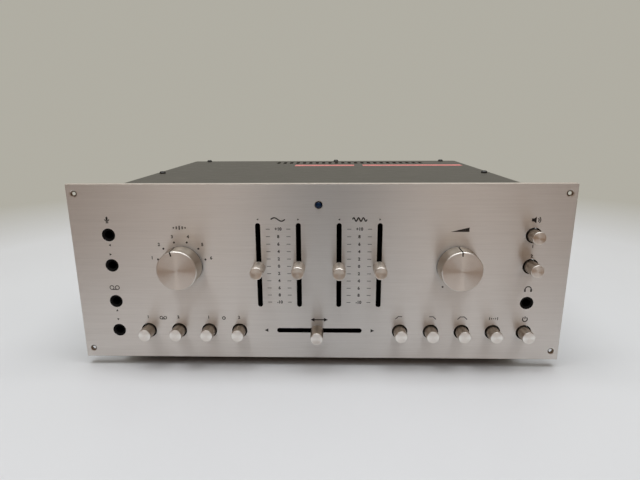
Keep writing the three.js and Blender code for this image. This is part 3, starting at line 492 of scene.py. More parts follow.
def coatFinish(name, kind, color, roughness, skin=900, depth=0.03, gloss=0.5):
    coat = coats[kind]
    worn = [channel * coat["gain"] + coat["lift"] for channel in color]
    rough = [roughness + change for change in coat["rough"]]
    bump = ("skin", coat["bump"], depth) if coat["bump"] else None
    return layeredFinish(name, {"wear": coat["wear"], "skin": (skin, *coat["skin"])},
                         ("wear", color, worn, *coat["ramp"]), (), ("wear", *rough), bump,
                         color=color, roughness=roughness, gloss=gloss)


plating = {
    "clouds": (5.0, 0.7), "rolled": ((1600, 25, 1600), 2.0, 0.5), "ramp": (0.3, 0.66), "rolledShare": 0.25,
    "rough": (-0.08, 0.14), "bump": (0.12, 0.02), "metallic": 0.95,
}


def platedFinish(name, light, dark, roughness=0.4, spangle=120):
    noises = {"clouds": (spangle, *plating["clouds"]), "rolled": plating["rolled"]}
    rough = [roughness + change for change in plating["rough"]]
    return layeredFinish(name, noises, ("clouds", dark, light, *plating["ramp"]),
                         [("rolled", plating["rolledShare"], dark)], ("clouds", *rough),
                         ("rolled", *plating["bump"]), metallic=plating["metallic"], roughness=roughness)


boards = {
    "noises": {"fibres": ((1400, 160, 1400), 4.0, 0.6), "patches": (45, 3.0, 0.6)}, "ramp": (0.3, 0.7),
    "darker": 0.6, "patchShare": 0.35, "rough": ("patches", 0.42, 0.62), "bump": ("fibres", 0.2, 0.02),
}


def boardFinish(name, base, fibre):
    stain = [channel * boards["darker"] for channel in base]
    return layeredFinish(name, boards["noises"], ("fibres", base, fibre, *boards["ramp"]),
                         [("patches", boards["patchShare"], stain)], boards["rough"], boards["bump"],
                         color=base)


jewelLook = {
    "dark": (0.0005, 0.005, 0.022), "light": (0.001, 0.02, 0.07), "rings": 900,
    # the lighter middle is painted light, as if shining through the jewel
    "middle": (0.004, 0.06, 0.15), "litMiddleEnds": (0.3, 0.8), "roughness": 0.1, "gloss": 0.25,
}


def jewelFinish():
    look = jewelLook
    finish, tree, shader = startFinish("blue jewel", look["light"], look["roughness"], gloss=look["gloss"])
    color = blendColor(tree, ringGrain(tree, look["rings"]), look["dark"], look["light"])
    # a lighter blue painted in the middle as light, fading with distance from the axis
    middle = between(tree, axisDistance(tree), 1, 0, *[radius * mm for radius in look["litMiddleEnds"]])
    feed(shader, mixColor(tree, middle, color, (*look["middle"], 1)))
    return finish


finishes = {key: layeredFinish(**look) for key, look in looks.items()}
finishes.update({
    "spun": spunFinish("spun aluminium", (0.99, 1.0, 1.01)),
    # the button faces' aluminium, lightened as painted light
    "spunBright": spunFinish("spun aluminium lightened as painted light", (1.11, 1.13, 1.14)),
    "spunWarm": spunFinish("spun aluminium slider", (0.97, 0.93, 0.88)),
    # knob sides: the face's aluminium darkened as painted shade
    "spunShadedSide": spunFinish("spun aluminium darkened as painted shade", (0.65, 0.62, 0.57), 0.85),
    # slider sides and the panel's rim: aluminium darkened as painted shade
    "spunShadedDull": spunFinish("dull aluminium darkened as painted shade", (0.70, 0.68, 0.65), 0.3, 0.2),
    # button and balance slider sides: aluminium darkened as painted shade
    "spunShadedDark": spunFinish("aluminium side darkened as painted shade", (0.50, 0.45, 0.39), 0.3),
    # darkest aluminium, painted shade inside the corner holes and on the panel's underside
    "shadeDarkened": spunFinish("bored aluminium", (0.22, 0.17, 0.13), 0.3),
    "cover": coatFinish("cover paint", "paint", (0.050, 0.046, 0.036), 0.47, 1300),
    "screw": coatFinish("blackened screw", "paint", (0.012, 0.012, 0.012), 0.36, 2500, 0.01),
    "anodised": coatFinish("black anodising", "paint", (0.016, 0.016, 0.018), 0.48, 2200),
    "zinc": platedFinish("zinc plate", (0.60, 0.59, 0.55), (0.40, 0.39, 0.35)),
    # the tray's zinc, darkened as painted shade for the dark gap under the panel
    "shadedZinc": platedFinish("dull zinc plate", (0.15, 0.15, 0.145), (0.10, 0.10, 0.096), 0.5),
    "nickel": platedFinish("nickel plate", (0.72, 0.70, 0.66), (0.56, 0.54, 0.50), 0.24, 400),
    "brass": platedFinish("brass", (0.75, 0.55, 0.26), (0.55, 0.38, 0.16), 0.3, 400),
    "can": platedFinish("drawn can", (0.66, 0.67, 0.68), (0.5, 0.51, 0.53), 0.32, 200),
    "blackPlastic": coatFinish("black moulding", "moulding", (0.003, 0.003, 0.003), 0.55, 700, 0.015, 0.12),
    "switchPlastic": coatFinish("switch moulding", "moulding", (0.035, 0.035, 0.038), 0.45, 700, 0.015),
    "redPlastic": coatFinish("red moulding", "moulding", (0.42, 0.018, 0.015), 0.32, 700, 0.015),
    "whitePlastic": coatFinish("white moulding", "moulding", (0.62, 0.60, 0.55), 0.38, 700, 0.015),
    "rubber": coatFinish("rubber", "moulding", (0.011, 0.011, 0.011), 0.72, 1500, 0.04),
    "tape": coatFinish("blank strip", "moulding", (0.62, 0.19, 0.18), 0.4, 400, 0.015),
    "ink": coatFinish("panel ink", "ink", (0.012, 0.010, 0.009), 0.5),
    # groove paint for the pointer grooves, also laid as painted shade on the knobs' foot band
    "grooveInkAndShade": coatFinish("groove paint and painted shade", "ink", (0.02, 0.018, 0.016), 0.5),
    "jewel": jewelFinish(),
    "board": boardFinish("circuit board", (0.20, 0.105, 0.035), (0.27, 0.16, 0.06)),
    "socketBoard": boardFinish("socket board", (0.028, 0.024, 0.02), (0.05, 0.042, 0.034)),
})
print("finishes ready")


# The frame's own nodes that stay in sight or inside, with better finishes
dressedNodes = {
    "blackAndPaintedShade": ["sub_panel", "bass_slide_unit", "treble_slide_unit", "balance_slide_unit"]
                 + [name + "_lever" for name in toneNames + ["balance"]],
    "switchPlastic": ["selector_switch", "left_switch_bank", "right_switch_bank", "speaker_switch_bank"],
    "zinc": ["selector_shaft", "volume_shaft", "volume_control", "rear_panel"],
    # the tray takes zinc darkened as painted shade
    "shadedZinc": ["chassis_tray"], "core": ["power_transformer"], "can": ["filter_capacitors"],
    "anodised": ["heat_sink"], "board": ["main_board"],
}
for kind, nodes in dressedNodes.items():
    for node in nodes:
        materials = frame["nodes"][node].data.materials
        materials.clear()
        materials.append(finishes[kind])


# Front panel

panelSizes = {
    "edge": 0.25, "holeEdge": 0.1, "slotEdge": 0.12, "slotWidth": 3.9, "slotLength": 68.7,
    "underside": 0.01,  # faces no further above the lower edge are darkened as painted shade
    "buttonRing": 0.7, "jackHole": 5.2, "shaftHole": 5.6, "lensRing": 0.3, "lensSink": 0.35,
    "cornerInset": (5.7, 7.3), "cornerHole": 1.35, "cornerSides": 32,
    # a corner hole's wall: how far it stands outside the hole's radius, and how deep
    "cornerWall": ((1.75, 0), (1.1, 0.35), (0, 1.3), (2.85, 1.3)),
}
slotMiddle = nodeMiddle("bass_slide_unit").z
balanceMiddle = nodeMiddle("balance_slide_unit")


def makePanel():
    sizes = panelSizes
    thickness = panelHigh.y - panelLow.y
    rim = edgeRound(sizes["edge"], -1) + [(0, thickness)]
    hole, slot = (edgeRound(sizes[edge]) + [(0, thickness)] for edge in ("holeEdge", "slotEdge"))
    # hole and slot walls take the dull black; in the button and jack holes it is painted shade
    darkWall = [0] * (len(hole) - 2) + [1]
    outer = rectangleOutline(panelLow.x, panelHigh.x, panelLow.z, panelHigh.z)
    # the panel's edges take aluminium darkened as painted shade
    loops = [(outer, rim, [2] * (len(rim) - 1))]
    corner = [*sizes["cornerWall"], (sizes["cornerWall"][-1][0], thickness)]
    insetX, insetZ = sizes["cornerInset"]
    for x in (panelLow.x + insetX, panelHigh.x - insetX):
        for z in (panelLow.z + insetZ, panelHigh.z - insetZ):
            outline = circleOutline(x, z, sizes["cornerHole"], sizes["cornerSides"])
            # the corner holes' walls are darkened and, at the back, blackened as painted shade
            loops.append((outline, corner, [3, 4, 4, 1]))
    holes = [(nodeMiddle(name), nodeRadius(name) + sizes["buttonRing"]) for name in allButtons]
    holes += [(openingMiddle(opening), sizes["jackHole"]) for opening in jackOpenings.values()]
    for spot, radius in holes:
        loops.append((circleOutline(spot.x, spot.z, radius), hole, darkWall))
    for joint in ("selector_turn", "volume_turn"):
        spot = jointPlace(joint)
        loops.append((circleOutline(spot.x, spot.z, sizes["shaftHole"]), hole))
    lens = nodeMiddle("pilot_lens")
    lensSink = [(sizes["lensSink"], 0), (0, sizes["lensSink"]), (0, thickness)]
    lensHole = circleOutline(lens.x, lens.z, nodeRadius("pilot_lens") + sizes["lensRing"])
    # the lens hole's wall is blackened as painted shade
    loops.append((lensHole, lensSink, [3, 1]))
    slotSize = (sizes["slotWidth"], sizes["slotLength"])
    for name in toneNames:
        loops.append((slotOutline(nodeMiddle(name + "_knob").x, slotMiddle, *slotSize), slot, darkWall))
    loops.append((slotOutline(balanceMiddle.x, balanceMiddle.z, *slotSize, level=True), slot, darkWall))
    form = newForm()
    addPlate(form, loops, lambda u, v, depth: (u, faceY + depth, v))
    for index, face in enumerate(form["faces"]):
        if max(form["points"][point].z for point in face) < panelLow.z + sizes["underside"]:
            form["tints"][index] = 4  # the underside is darkened as painted shade
    kinds = ("panel", "blackAndPaintedShade", "spunShadedDull", "cutEdge", "shadeDarkened")
    placePiece(form, "panel_plate", kinds, replacing="front_panel")


makePanel()
print("panel made")


# Marks printed on the panel: plain numbers, ticks, dots and simple signs. A rise is above the panel's
# lower edge.

inkSizes = {
    "proud": 0.03, "sunk": 0.01, "line": 0.7, "thinLine": 0.4, "dot": 0.78, "dotSides": 20, "ringSteps": 24,
    "tickLength": 3.1, "tickStart": 6.2, "tickPitch": 6.0, "tickMiddle": 78.6, "tickSteps": 5,
    "numberSize": 3.4, "smallNumber": 3.3, "boldness": 0.042, "sharpest": 0.4,
}
inkDepth = inkSizes["proud"] + inkSizes["sunk"]


def inkLay(u, v, depth):
    return (u, faceY - inkSizes["proud"] + depth, panelLow.z + v)


def inkPlate(form, outline):
    addPlate(form, [(lambda grow: outline, [(0, 0), (0, inkDepth)])], inkLay)


def inkDot(form, x, rise):
    inkPlate(form, circleOutline(x, rise, inkSizes["dot"], inkSizes["dotSides"])(0))


# A flat line of even width through points on the panel.
def inkLine(form, path, width=inkSizes["line"], closed=False):
    points = [Vector(point) for point in path]
    count = len(points)
    sides = ([], [])
    for index, here in enumerate(points):
        before = points[index - 1] if index or closed else None
        after = points[(index + 1) % count] if index < count - 1 or closed else None
        into = ((here - before) if before is not None else (after - here)).normalized()
        out = (after - here).normalized() if after is not None else into
        across = Vector((-(into + out).y, (into + out).x)).normalized()
        reach = width / 2 / max(across.dot(Vector((-into.y, into.x))), inkSizes["sharpest"])
        sides[0].append(here + across * reach)
        sides[1].append(here - across * reach)
    corners = [inkLay(p.x, p.y, d) for side in sides for p in side for d in (0, inkDepth)]

    def corner(side, index, layer):
        return side * 2 * count + 2 * (index % count) + layer

    faces = []
    for index in range(count if closed else count - 1):
        for side, layer, other, otherLayer in ((0, 0, 1, 0), (0, 1, 1, 1), (0, 0, 0, 1), (1, 0, 1, 1)):
            faces.append([corner(side, index, layer), corner(side, index + 1, layer),
                          corner(other, index + 1, otherLayer), corner(other, index, otherLayer)])
    for index in () if closed else (0, count - 1):
        faces.append([corner(0, index, 0), corner(0, index, 1), corner(1, index, 1), corner(1, index, 0)])
    addFaces(form, corners, faces)


def arcPath(x, rise, radius, start, end, steps=20):
    angles = [math.radians(start + (end - start) * step / steps) for step in range(steps + 1)]
    return [(x + radius * math.cos(a), rise + radius * math.sin(a)) for a in angles]


def inkRing(form, x, rise, radius, width=inkSizes["line"]):
    steps = inkSizes["ringSteps"]
    inkLine(form, arcPath(x, rise, radius, 0, 360 - 360 / steps, steps - 1), width, closed=True)


# Plain numbers, centred on a point.
def inkText(form, words, x, rise, size):
    curve = bpy.data.curves.new("number", "FONT")
    curve.body = words
    curve.size = size
    curve.align_x = "CENTER"
    curve.align_y = "CENTER"
    curve.resolution_u = 3
    curve.extrude = inkDepth / 2
    curve.offset = size * inkSizes["boldness"]
    holder = bpy.data.objects.new("number", curve)
    scene.collection.objects.link(holder)
    shaped = holder.evaluated_get(bpy.context.evaluated_depsgraph_get())
    mesh = shaped.to_mesh()
    depth = faceY - (inkSizes["proud"] - inkSizes["sunk"]) / 2
    points = [(x + p.co.x, depth - p.co.z, panelLow.z + rise + p.co.y) for p in mesh.vertices]
    addFaces(form, points, [list(face.vertices) for face in mesh.polygons])
    shaped.to_mesh_clear()
    bpy.data.objects.remove(holder)


def addScales(form):
    sizes = inkSizes
    steps = sizes["tickSteps"]
    for first, second in (toneNames[:2], toneNames[2:]):
        left, right = (nodeMiddle(name + "_knob").x for name in (first, second))
        for step in range(-steps, steps + 1):
            rise = sizes["tickMiddle"] + step * sizes["tickPitch"]
            for edge, side in ((left, 1), (right, -1)):
                start = edge + side * sizes["tickStart"]
                inkLine(form, [(start, rise), (start + side * sizes["tickLength"], rise)], sizes["thinLine"])
            sign = {steps: "+", -steps: "-"}.get(step, "")
            inkText(form, sign + str(abs(step) * 2), (left + right) / 2, rise, sizes["numberSize"])


dialMarks = {
    "selectorRing": 19.5, "selectorNumbers": 24.2, "selectorAngles": (-75, -45, -15, 15, 45, 75),
    "volumeRing": 20.1, "volumeAngles": (-147.6, 147.6),
}


def aroundDial(centre, radius, degrees):
    angle = math.radians(degrees)
    return centre.x + radius * math.sin(angle), centre.z - panelLow.z + radius * math.cos(angle)


def addDialMarks(form):
    selector, volume = jointPlace("selector_turn"), jointPlace("volume_turn")
    for number, angle in enumerate(dialMarks["selectorAngles"], 1):
        inkDot(form, *aroundDial(selector, dialMarks["selectorRing"], angle))
        x, rise = aroundDial(selector, dialMarks["selectorNumbers"], angle)
        inkText(form, str(number), x, rise, inkSizes["numberSize"])
    for angle in dialMarks["volumeAngles"]:
        inkDot(form, *aroundDial(volume, dialMarks["volumeRing"], angle))


# Each sign's proportions are shares of its size

def wedgeSign(form, x, rise, width=14.0, height=3.4):
    left, right, low, high = x - width / 2, x + width / 2, rise - height / 2, rise + height / 2
    inkPlate(form, [(left, low), (right, low), (right, high)])


def waveSign(form, x, rise, turns, width=11.0, height=1.35, line=0.95):
    shares = [step / (12 * turns) for step in range(12 * turns + 1)]
    inkLine(form, [(x + width * (share - 0.5), rise + height * math.sin(2 * math.pi * turns * share))
                   for share in shares], line)


def arrowSign(form, x, rise, way, size=1.5):
    turned = Vector({"left": (-1, 0), "right": (1, 0), "up": (0, 1), "down": (0, -1)}[way]) * size
    tip, back = (Vector((x, rise)) + turned * side * 0.6 for side in (1, -1))
    aside = Vector((-turned.y, turned.x)) * 0.62
    inkPlate(form, [tuple(tip), tuple(back + aside), tuple(back - aside)])


def speakerSign(form, x, rise, size=2.5):
    outline = [(-1, -0.45), (-0.35, -0.45), (0.4, -1), (0.4, 1), (-0.35, 0.45), (-1, 0.45)]
    inkPlate(form, [(x + size * u, rise + size * v) for u, v in outline])
    for share in (0.85, 1.35):
        inkLine(form, arcPath(x + size * 0.3, rise, size * share, -42, 42, 8))


def phonesSign(form, x, rise, size=2.4, line=0.8):
    inkLine(form, arcPath(x, rise - size * 0.2, size, 0, 180, 16), line)
    for side in (-1, 1):
        inkPlate(form, [(x + size * (side + u), rise + size * v)
                        for u, v in ((-0.28, -1), (0.28, -1), (0.28, -0.1), (-0.28, -0.1))])


def powerSign(form, x, rise, size=1.9, line=0.8):
    inkLine(form, arcPath(x, rise, size, 125, 415, 22), line)
    inkLine(form, [(x, rise + size * 0.25), (x, rise + size * 1.25)], line)


def microphoneSign(form, x, rise, size=1.4, line=0.6):
    inkPlate(form, slotOutline(x, rise + size * 0.8, size * 1.1, size * 2.4, steps=8)(0))
    inkLine(form, arcPath(x, rise + size * 0.5, size * 1.15, 180, 360, 12), line)
    for start, end in (((0, -0.65), (0, -1.5)), ((-0.8, -1.5), (0.8, -1.5))):
        inkLine(form, [(x + size * u, rise + size * v) for u, v in (start, end)], line)


def reelSign(form, x, rise, size, line=0.6):
    for side in (-1, 1):
        inkRing(form, x + side * size * 1.35, rise, size, line)
    inkLine(form, [(x - size * 1.35, rise - size), (x + size * 1.35, rise - size)], line)


# A level line that falls away at one or both ends.
def slopeSign(form, x, rise, ways, width=7.6, height=1.1, line=0.65):
    path = [(x - width * 0.2, rise + height), (x + width * 0.2, rise + height)]
    if "left" in ways:
        path.insert(0, (x - width / 2, rise - height))
    if "right" in ways:
        path.append((x + width / 2, rise - height))
    inkLine(form, path, line)


def barsSign(form, x, rise, heights=(1.3, 2.3, 3.2, 2.3, 1.3), pitch=2.3, width=0.95):
    for index, height in enumerate(heights):
        left = x + (index - (len(heights) - 1) / 2) * pitch
        inkLine(form, [(left, rise - height / 2), (left, rise + height / 2)], width)


signRises = {
    "microphone": 115.6, "microphoneWays": (95.6, 88.0), "dubbing": 60.4, "dubbingWays": (41.0, 32.9),
    "selector": 109.6, "tones": 116.2, "volume": 108.3, "speakers": 115.9, "speakerNumbers": (95.2, 87.4),
    "phones": 60.6, "power": 35.0, "buttonNumbers": 35.2, "buttonSigns": 34.6, "filters": 35.6, "bars": 35.4,
    "balance": 33.6, "balanceEnds": 24.2,
}
signSizes = {
    "reel": 1.6, "smallReel": 1.15, "toneWay": 1.2, "speakerShift": -0.3, "endReach": 43.0, "endWay": 2.4,
    "balanceLine": 0.9, "balanceReach": 4.6, "balanceTip": 5.4, "balanceWay": 2.6,
    "lastBars": {"heights": (2.4, 1.3, 0.8, 1.3, 2.4), "pitch": 1.6, "width": 0.6},
}


def addSigns(form):
    rises, sizes = signRises, signSizes
    columns = {name: nodeMiddle(name).x for name in allButtons}
    tones = [nodeMiddle(name + "_knob").x for name in toneNames]
    edgeLeft, edgeRight = openingMiddle("microphone_left_bore").x, openingMiddle("phones_bore").x
    microphoneSign(form, edgeLeft, rises["microphone"])
    reelSign(form, edgeLeft, rises["dubbing"], sizes["reel"])
    for key, ways in (("microphoneWays", ("left", "right")), ("dubbingWays", ("up", "down"))):
        for rise, way in zip(rises[key], ways):
            arrowSign(form, edgeLeft, rise, way)
    barsSign(form, jointPlace("selector_turn").x, rises["selector"])
    wedgeSign(form, jointPlace("volume_turn").x, rises["volume"])
    waveSign(form, (tones[0] + tones[1]) / 2, rises["tones"], 1)
    waveSign(form, (tones[2] + tones[3]) / 2, rises["tones"], 3)
    for x, way in zip(tones, ("left", "right") * 2):
        arrowSign(form, x, rises["tones"], way, sizes["toneWay"])
    speakerSign(form, edgeRight + sizes["speakerShift"], rises["speakers"])
    for number, rise in zip("12", rises["speakerNumbers"]):
        inkText(form, number, edgeRight, rise, inkSizes["smallNumber"])
    phonesSign(form, edgeRight, rises["phones"])
    powerSign(form, columns["power_button"], rises["power"])
    reach = sizes["balanceReach"]
    inkLine(form, [(-reach, rises["balance"]), (reach, rises["balance"])], sizes["balanceLine"])
    for side, way in ((-1, "left"), (1, "right")):
        arrowSign(form, side * sizes["balanceTip"], rises["balance"], way, sizes["balanceWay"])
        arrowSign(form, side * sizes["endReach"], rises["balanceEnds"], way, sizes["endWay"])
    for first, sign in ((0, reelSign), (2, inkRing)):
        pair = [columns[name] for name in leftButtons[first:first + 2]]
        for number, x in zip("12", pair):
            inkText(form, number, x, rises["buttonNumbers"], inkSizes["smallNumber"])
        sign(form, sum(pair) / 2, rises["buttonSigns"], sizes["smallReel"])
    for name, ways in zip(rightButtons, (["left"], ["right"], ["left", "right"])):
        slopeSign(form, columns[name], rises["filters"], ways)
    barsSign(form, columns["right_button_4"], rises["bars"], **sizes["lastBars"])


for name, fill in (("panel_scales", addScales), ("dial_marks", addDialMarks), ("panel_signs", addSigns)):
    marks = newForm()
    fill(marks)
    placePiece(marks, name, "ink")
print("marks made")


# Pilot lamp: a faceted jewel in a small bright ring. Each row is a radius and how proud it stands.

jewelSizes = {
    "ringInner": 2.55, "ringProud": (0.35, 0.55), "ringRound": (0.15, 0.25), "facets": 8, "back": 0.5,
    "rows": ((0.9, 1.15), (1.8, 0.75), (2.55, 0.1)),
}


def makeJewel():
    sizes = jewelSizes
    low, high = nodeBox("pilot_lens")
    inner, outer = sizes["ringInner"], nodeRadius("pilot_lens")
    spot = (nodeMiddle("pilot_lens").x, 0, nodeMiddle("pilot_lens").z)
    (innerProud, outerProud), (innerRound, outerRound) = sizes["ringProud"], sizes["ringRound"]
    ring = newForm()
    addTurned(ring, filleted([(inner, high.y, 0), (inner, faceY - innerProud, innerRound),
                              (outer, faceY - outerProud, outerRound), (outer, high.y, 0)]))
    placePiece(ring, "pilot_ring", "nickel", place=spot)
    back = high.y - sizes["back"]
    profile = [(0, low.y), *[(radius, faceY - proud) for radius, proud in sizes["rows"]]]
    profile += [(inner, back), (0, back)]
    points, faces = [], []
    sides = sizes["facets"]
    for row, (radius, along) in enumerate(profile):
        for step in range(sides):
            angle = 2 * math.pi * (step + 0.5 * (row % 2)) / sides
            points.append((radius * math.cos(angle), along, radius * math.sin(angle)))
            if row < len(profile) - 1:
                a, b = row * sides + step, row * sides + (step + 1) % sides
                c, d = a + sides, b + sides
                faces += [[a, b, d], [a, d, c]] if row % 2 else [[a, b, c], [b, d, c]]
    jewel = newForm()
    addFaces(jewel, points, faces)
    piece = placePiece(jewel, "pilot_jewel", "jewel", replacing="pilot_lens", place=spot)
    piece.data.set_sharp_from_angle(angle=0)


makeJewel()


# Big knobs with a pointer groove

knobSizes = {
    # the back band is painted dark as the shadow where the knob meets the panel
    "faceRadius": 15.5, "rimEdge": 0.5, "rimRound": 0.12, "backRound": 0.3, "footShadeBand": 0.9,
    "skirt": 1.6, "hollow": 2.2, "hollowDepth": 1.2, "hubBack": 2.2, "hubFront": 2.4, "bore": 3.3,
    "crown": 3.5,
    "pointerWidth": 1.0, "pointerDepth": 0.7, "pointerLength": 3.4, "sides": 128, "overrun": 1.0,
    "edgeInner": 1.2,  # in rim edges
    "lean": {"selector": -15, "volume": -3.5},  # degrees
}


def knobForm(base, reach, backGap):
    sizes = knobSizes
    face, edge, bore, over = sizes["faceRadius"], sizes["rimEdge"], sizes["bore"], sizes["overrun"]
    back, front, crown = -backGap, -reach, -reach + sizes["crown"]
    band, hollow = back - sizes["footShadeBand"], back - sizes["hollowDepth"]
    profile = filleted([
        (0, front, 0), (face - edge, front, sizes["rimRound"]), (face, front + edge, sizes["rimRound"]),
        (base, band, 0), (base, back, sizes["backRound"]), (base - sizes["skirt"], back, 0),
        (base - sizes["hollow"], hollow, 0), (bore + sizes["hubFront"], hollow, 0),
        (bore + sizes["hubBack"], back, 0), (bore, back, 0), (bore, crown, 0), (0, crown, 0)], 3)
    form, faceGroove, sideGroove = newForm(), newForm(), newForm()
    # from the back band on, the side takes the dark foot tint, a painted shadow
    tints = turnedTints(profile, front, edge, face - edge * sizes["edgeInner"], band)
    addTurned(form, profile, sizes["sides"], bandTints=tints)
    half, deep = sizes["pointerWidth"] / 2, sizes["pointerDepth"]
    addBlock(faceGroove, (-half, front - over, face - sizes["pointerLength"]),
             (half, front + deep, base + over), 0, tint=3)
    addBlock(sideGroove, (-half, front + deep / 2, face - deep), (half, back + over, base + over), 0, tint=3)
    return carved(form, faceGroove, sideGroove)


for name in ("selector", "volume"):
    low, high = nodeBox(name + "_knob")
    spot = jointPlace(name + "_turn")
    knob = knobForm((high.z - low.z) / 2, faceY - low.y, faceY - high.y)
    # the side is the face's aluminium darkened as painted shade, and the foot band is painted dark as the shadow
    # where the knob meets the panel
    kinds = ("spun", "cutEdge", "spunShadedSide", "grooveInkAndShade")
    placePiece(knob, name + "_knob_turned", kinds, name, name + "_knob",
               (spot.x, faceY, spot.z), (0, math.radians(knobSizes["lean"][name]), 0))


# Sliding controls: a dished face, then the profile of the side and back

sliderSizes = {
    "front": -16.8, "dish": 0.3, "dishRadius": 3.8, "dishSteps": 6, "edge": 0.44, "edgeInner": 4.41,
    "side": ((4.51, -16.8, 0.12), (4.95, -16.36, 0.12), (5.15, -1.2, 0.2), (2.8325, -1.2, 0),
             (2.575, -2.4, 0), (0, -2.4, 0)), "sides": 64,
}


def makeSlider(name):
    sizes = sliderSizes
    middle, front = nodeMiddle(name + "_knob"), sizes["front"]
    shares = [step / sizes["dishSteps"] for step in range(sizes["dishSteps"] + 1)]
    dish = [(sizes["dishRadius"] * share, front + sizes["dish"] * (1 - share ** 2), 0) for share in shares]
    profile = filleted([*dish, *sizes["side"]], 3)
    form = newForm()
    tints = turnedTints(profile, front, sizes["edge"], sizes["edgeInner"])
    addTurned(form, profile, sizes["sides"], bandTints=tints)
    # slider sides take aluminium darkened as painted shade
    kinds = ("spun", "cutEdge", "spunShadedDark") if name == "balance" else ("spunWarm", "cutEdge", "spunShadedDull")
    placePiece(form, name + "_knob_turned", kinds, name, name + "_knob",
               (middle.x, faceY, middle.z))


for name in toneNames + ["balance"]:
    makeSlider(name)


# Push buttons

buttonSizes = {
    "crown": 0.15, "crownSteps": 6, "play": 0.3, "taper": 0.2, "edge": 0.3, "round": 0.12, "bodyRound": 0.4,
    "footRound": 0.25, "stem": 2.0, "stemRound": 0.3, "stemLength": 18.0, "sides": 64, "edgeInner": 0.1,
}


def makeButton(name):
    sizes = buttonSizes
    low, high = nodeBox(name)
    middle = nodeMiddle(name)
    base, back = nodeRadius(name) - sizes["play"], high.y - low.y
    face, edge, stem = base - sizes["taper"], sizes["edge"], sizes["stem"]
    rim, foot = face - edge, back - sizes["stemLength"]
    shares = [step / sizes["crownSteps"] for step in range(sizes["crownSteps"])]
    crown = [(rim * share, sizes["crown"] * share ** 2, 0) for share in shares]
    profile = filleted(crown + [
        (rim, sizes["crown"], sizes["round"]), (face, sizes["crown"] + edge, sizes["round"]),
        (base, faceY - low.y, sizes["bodyRound"]), (base, foot, sizes["footRound"]),
        (stem, foot, 0), (stem, back, sizes["stemRound"]), (0, back, 0)], 3)
    form = newForm()
    tints = turnedTints(profile, sizes["crown"], edge, rim - sizes["edgeInner"])
    addTurned(form, profile, sizes["sides"], bandTints=tints)
    # the face is lightened as painted light, and the side is aluminium darkened as painted shade
    placePiece(form, name + "_turned", ("spunBright", "cutEdge", "spunShadedDark"), name, name,
               (middle.x, low.y, middle.z))


for name in allButtons:
    makeButton(name)
print("controls made")


# Jacks: a barrel with its bushing, in a hollow moulded body with three lugs. Depths are behind the
# panel's face, and profiles are radius, depth and rounding.

jackSizes = {
    "barrel": ((3.3, 33.0, 0), (3.3, 1.0, 0.2), (4.0, 0.3, 0.12), (4.9, 0.3, 0.15), (4.9, 9.1, 0),
               (4.2, 9.1, 0), (4.2, 33.0, 0)),
    "hollow": ((0, 7.1), (4.5, 7.1), (4.5, 33.3), (0, 33.3)), "sides": 56, "hollowSides": 40,
    "bodySides": (-4.9, 10.0), "bodyDepth": (8.1, 36.3), "halfHeight": 5.2, "bodyRound": 0.5,
    "lugSides": (7.0, 7.4), "lugDepth": (35.3, 40.8), "lugRows": (-3.0, 0.0, 3.0), "lugHalf": 0.9,
    "lugRound": 0.1,
}


def makeJack(name, opening):
    sizes = jackSizes
    spot = openingMiddle(opening)
    side = 1 if spot.x < 0 else -1
    body, hollow = newForm(), newForm()
    left, right = sorted(side * edge for edge in sizes["bodySides"])
    front, back = sizes["bodyDepth"]
    half = sizes["halfHeight"]
    addBlock(body, (left, front, -half), (right, back, half), sizes["bodyRound"])
    addTurned(hollow, sizes["hollow"], sizes["hollowSides"])
    form = carved(body, hollow)
    addTurned(form, filleted(sizes["barrel"], 3), sizes["sides"])
    left, right = sorted(side * edge for edge in sizes["lugSides"])
    front, back = sizes["lugDepth"]
    half = sizes["lugHalf"]
    for row in sizes["lugRows"]:
        addBlock(form, (left, front, row - half), (right, back, row + half), sizes["lugRound"], 1, 1)
    placePiece(form, name + "_moulded", ("blackPlastic", "nickel"), replacing=name,
               place=(spot.x, faceY, spot.z))


for name, opening in jackOpenings.items():
    makeJack(name, opening)
print("jacks made")


# Top cover: one pressed sheet with a turned-down skirt, vents at the back, two blank strips and five screws

coverSizes = {
    "sheet": 1.2, "topRound": 2.2, "cornerRound": 5.0, "frontRound": 0.4, "sheetRound": 0.2,
    "ventWidth": 4.0, "ventPitch": 8.0, "ventSpan": 188.0, "ventMiddle": 31.5, "ventLength": 21.0,
    "ventInset": 19.0, "screwHole": 1.8, "screwHoleSides": 20,
}
coverLow, coverHigh = nodeBox("top_cover")
coverTop = coverHigh.z


def makeCover():
    sizes = coverSizes
    sheet, skirt, outer = sizes["sheet"], coverTop - coverLow.z, sizes["topRound"]
    edge = edgeRound(outer, -1, 5) + [(0, skirt), (-sheet, skirt)]
    inside = [(grow - sheet, depth + sheet) for grow, depth in edgeRound(outer - sheet, -1, 4)]
    radii = (sizes["frontRound"], sizes["cornerRound"], sizes["cornerRound"], sizes["frontRound"])
    outline = rectangleOutline(coverLow.x, coverHigh.x, coverLow.y, coverHigh.y, radii, 8)
    loops = [(outline, edge + inside[::-1])]
    sheetEdge = edgeRound(sizes["sheetRound"], 1, 2) + [(0, sheet)]
    count = int(sizes["ventSpan"] // sizes["ventPitch"])
    ventY = coverHigh.y - sizes["ventInset"] - sizes["ventLength"] / 2
    for index in range(count):
        x = sizes["ventMiddle"] + (index - (count - 1) / 2) * sizes["ventPitch"]
        loops.append((slotOutline(x, ventY, sizes["ventWidth"], sizes["ventLength"]), sheetEdge))
    for name in screwNames:
        spot = nodeMiddle(name)
        loops.append((circleOutline(spot.x, spot.y, sizes["screwHole"], sizes["screwHoleSides"]), sheetEdge))
    form = newForm()
    addPlate(form, loops, lambda u, v, depth: (u, v, coverTop - depth))
    placePiece(form, "cover_shell", "cover", replacing="top_cover")


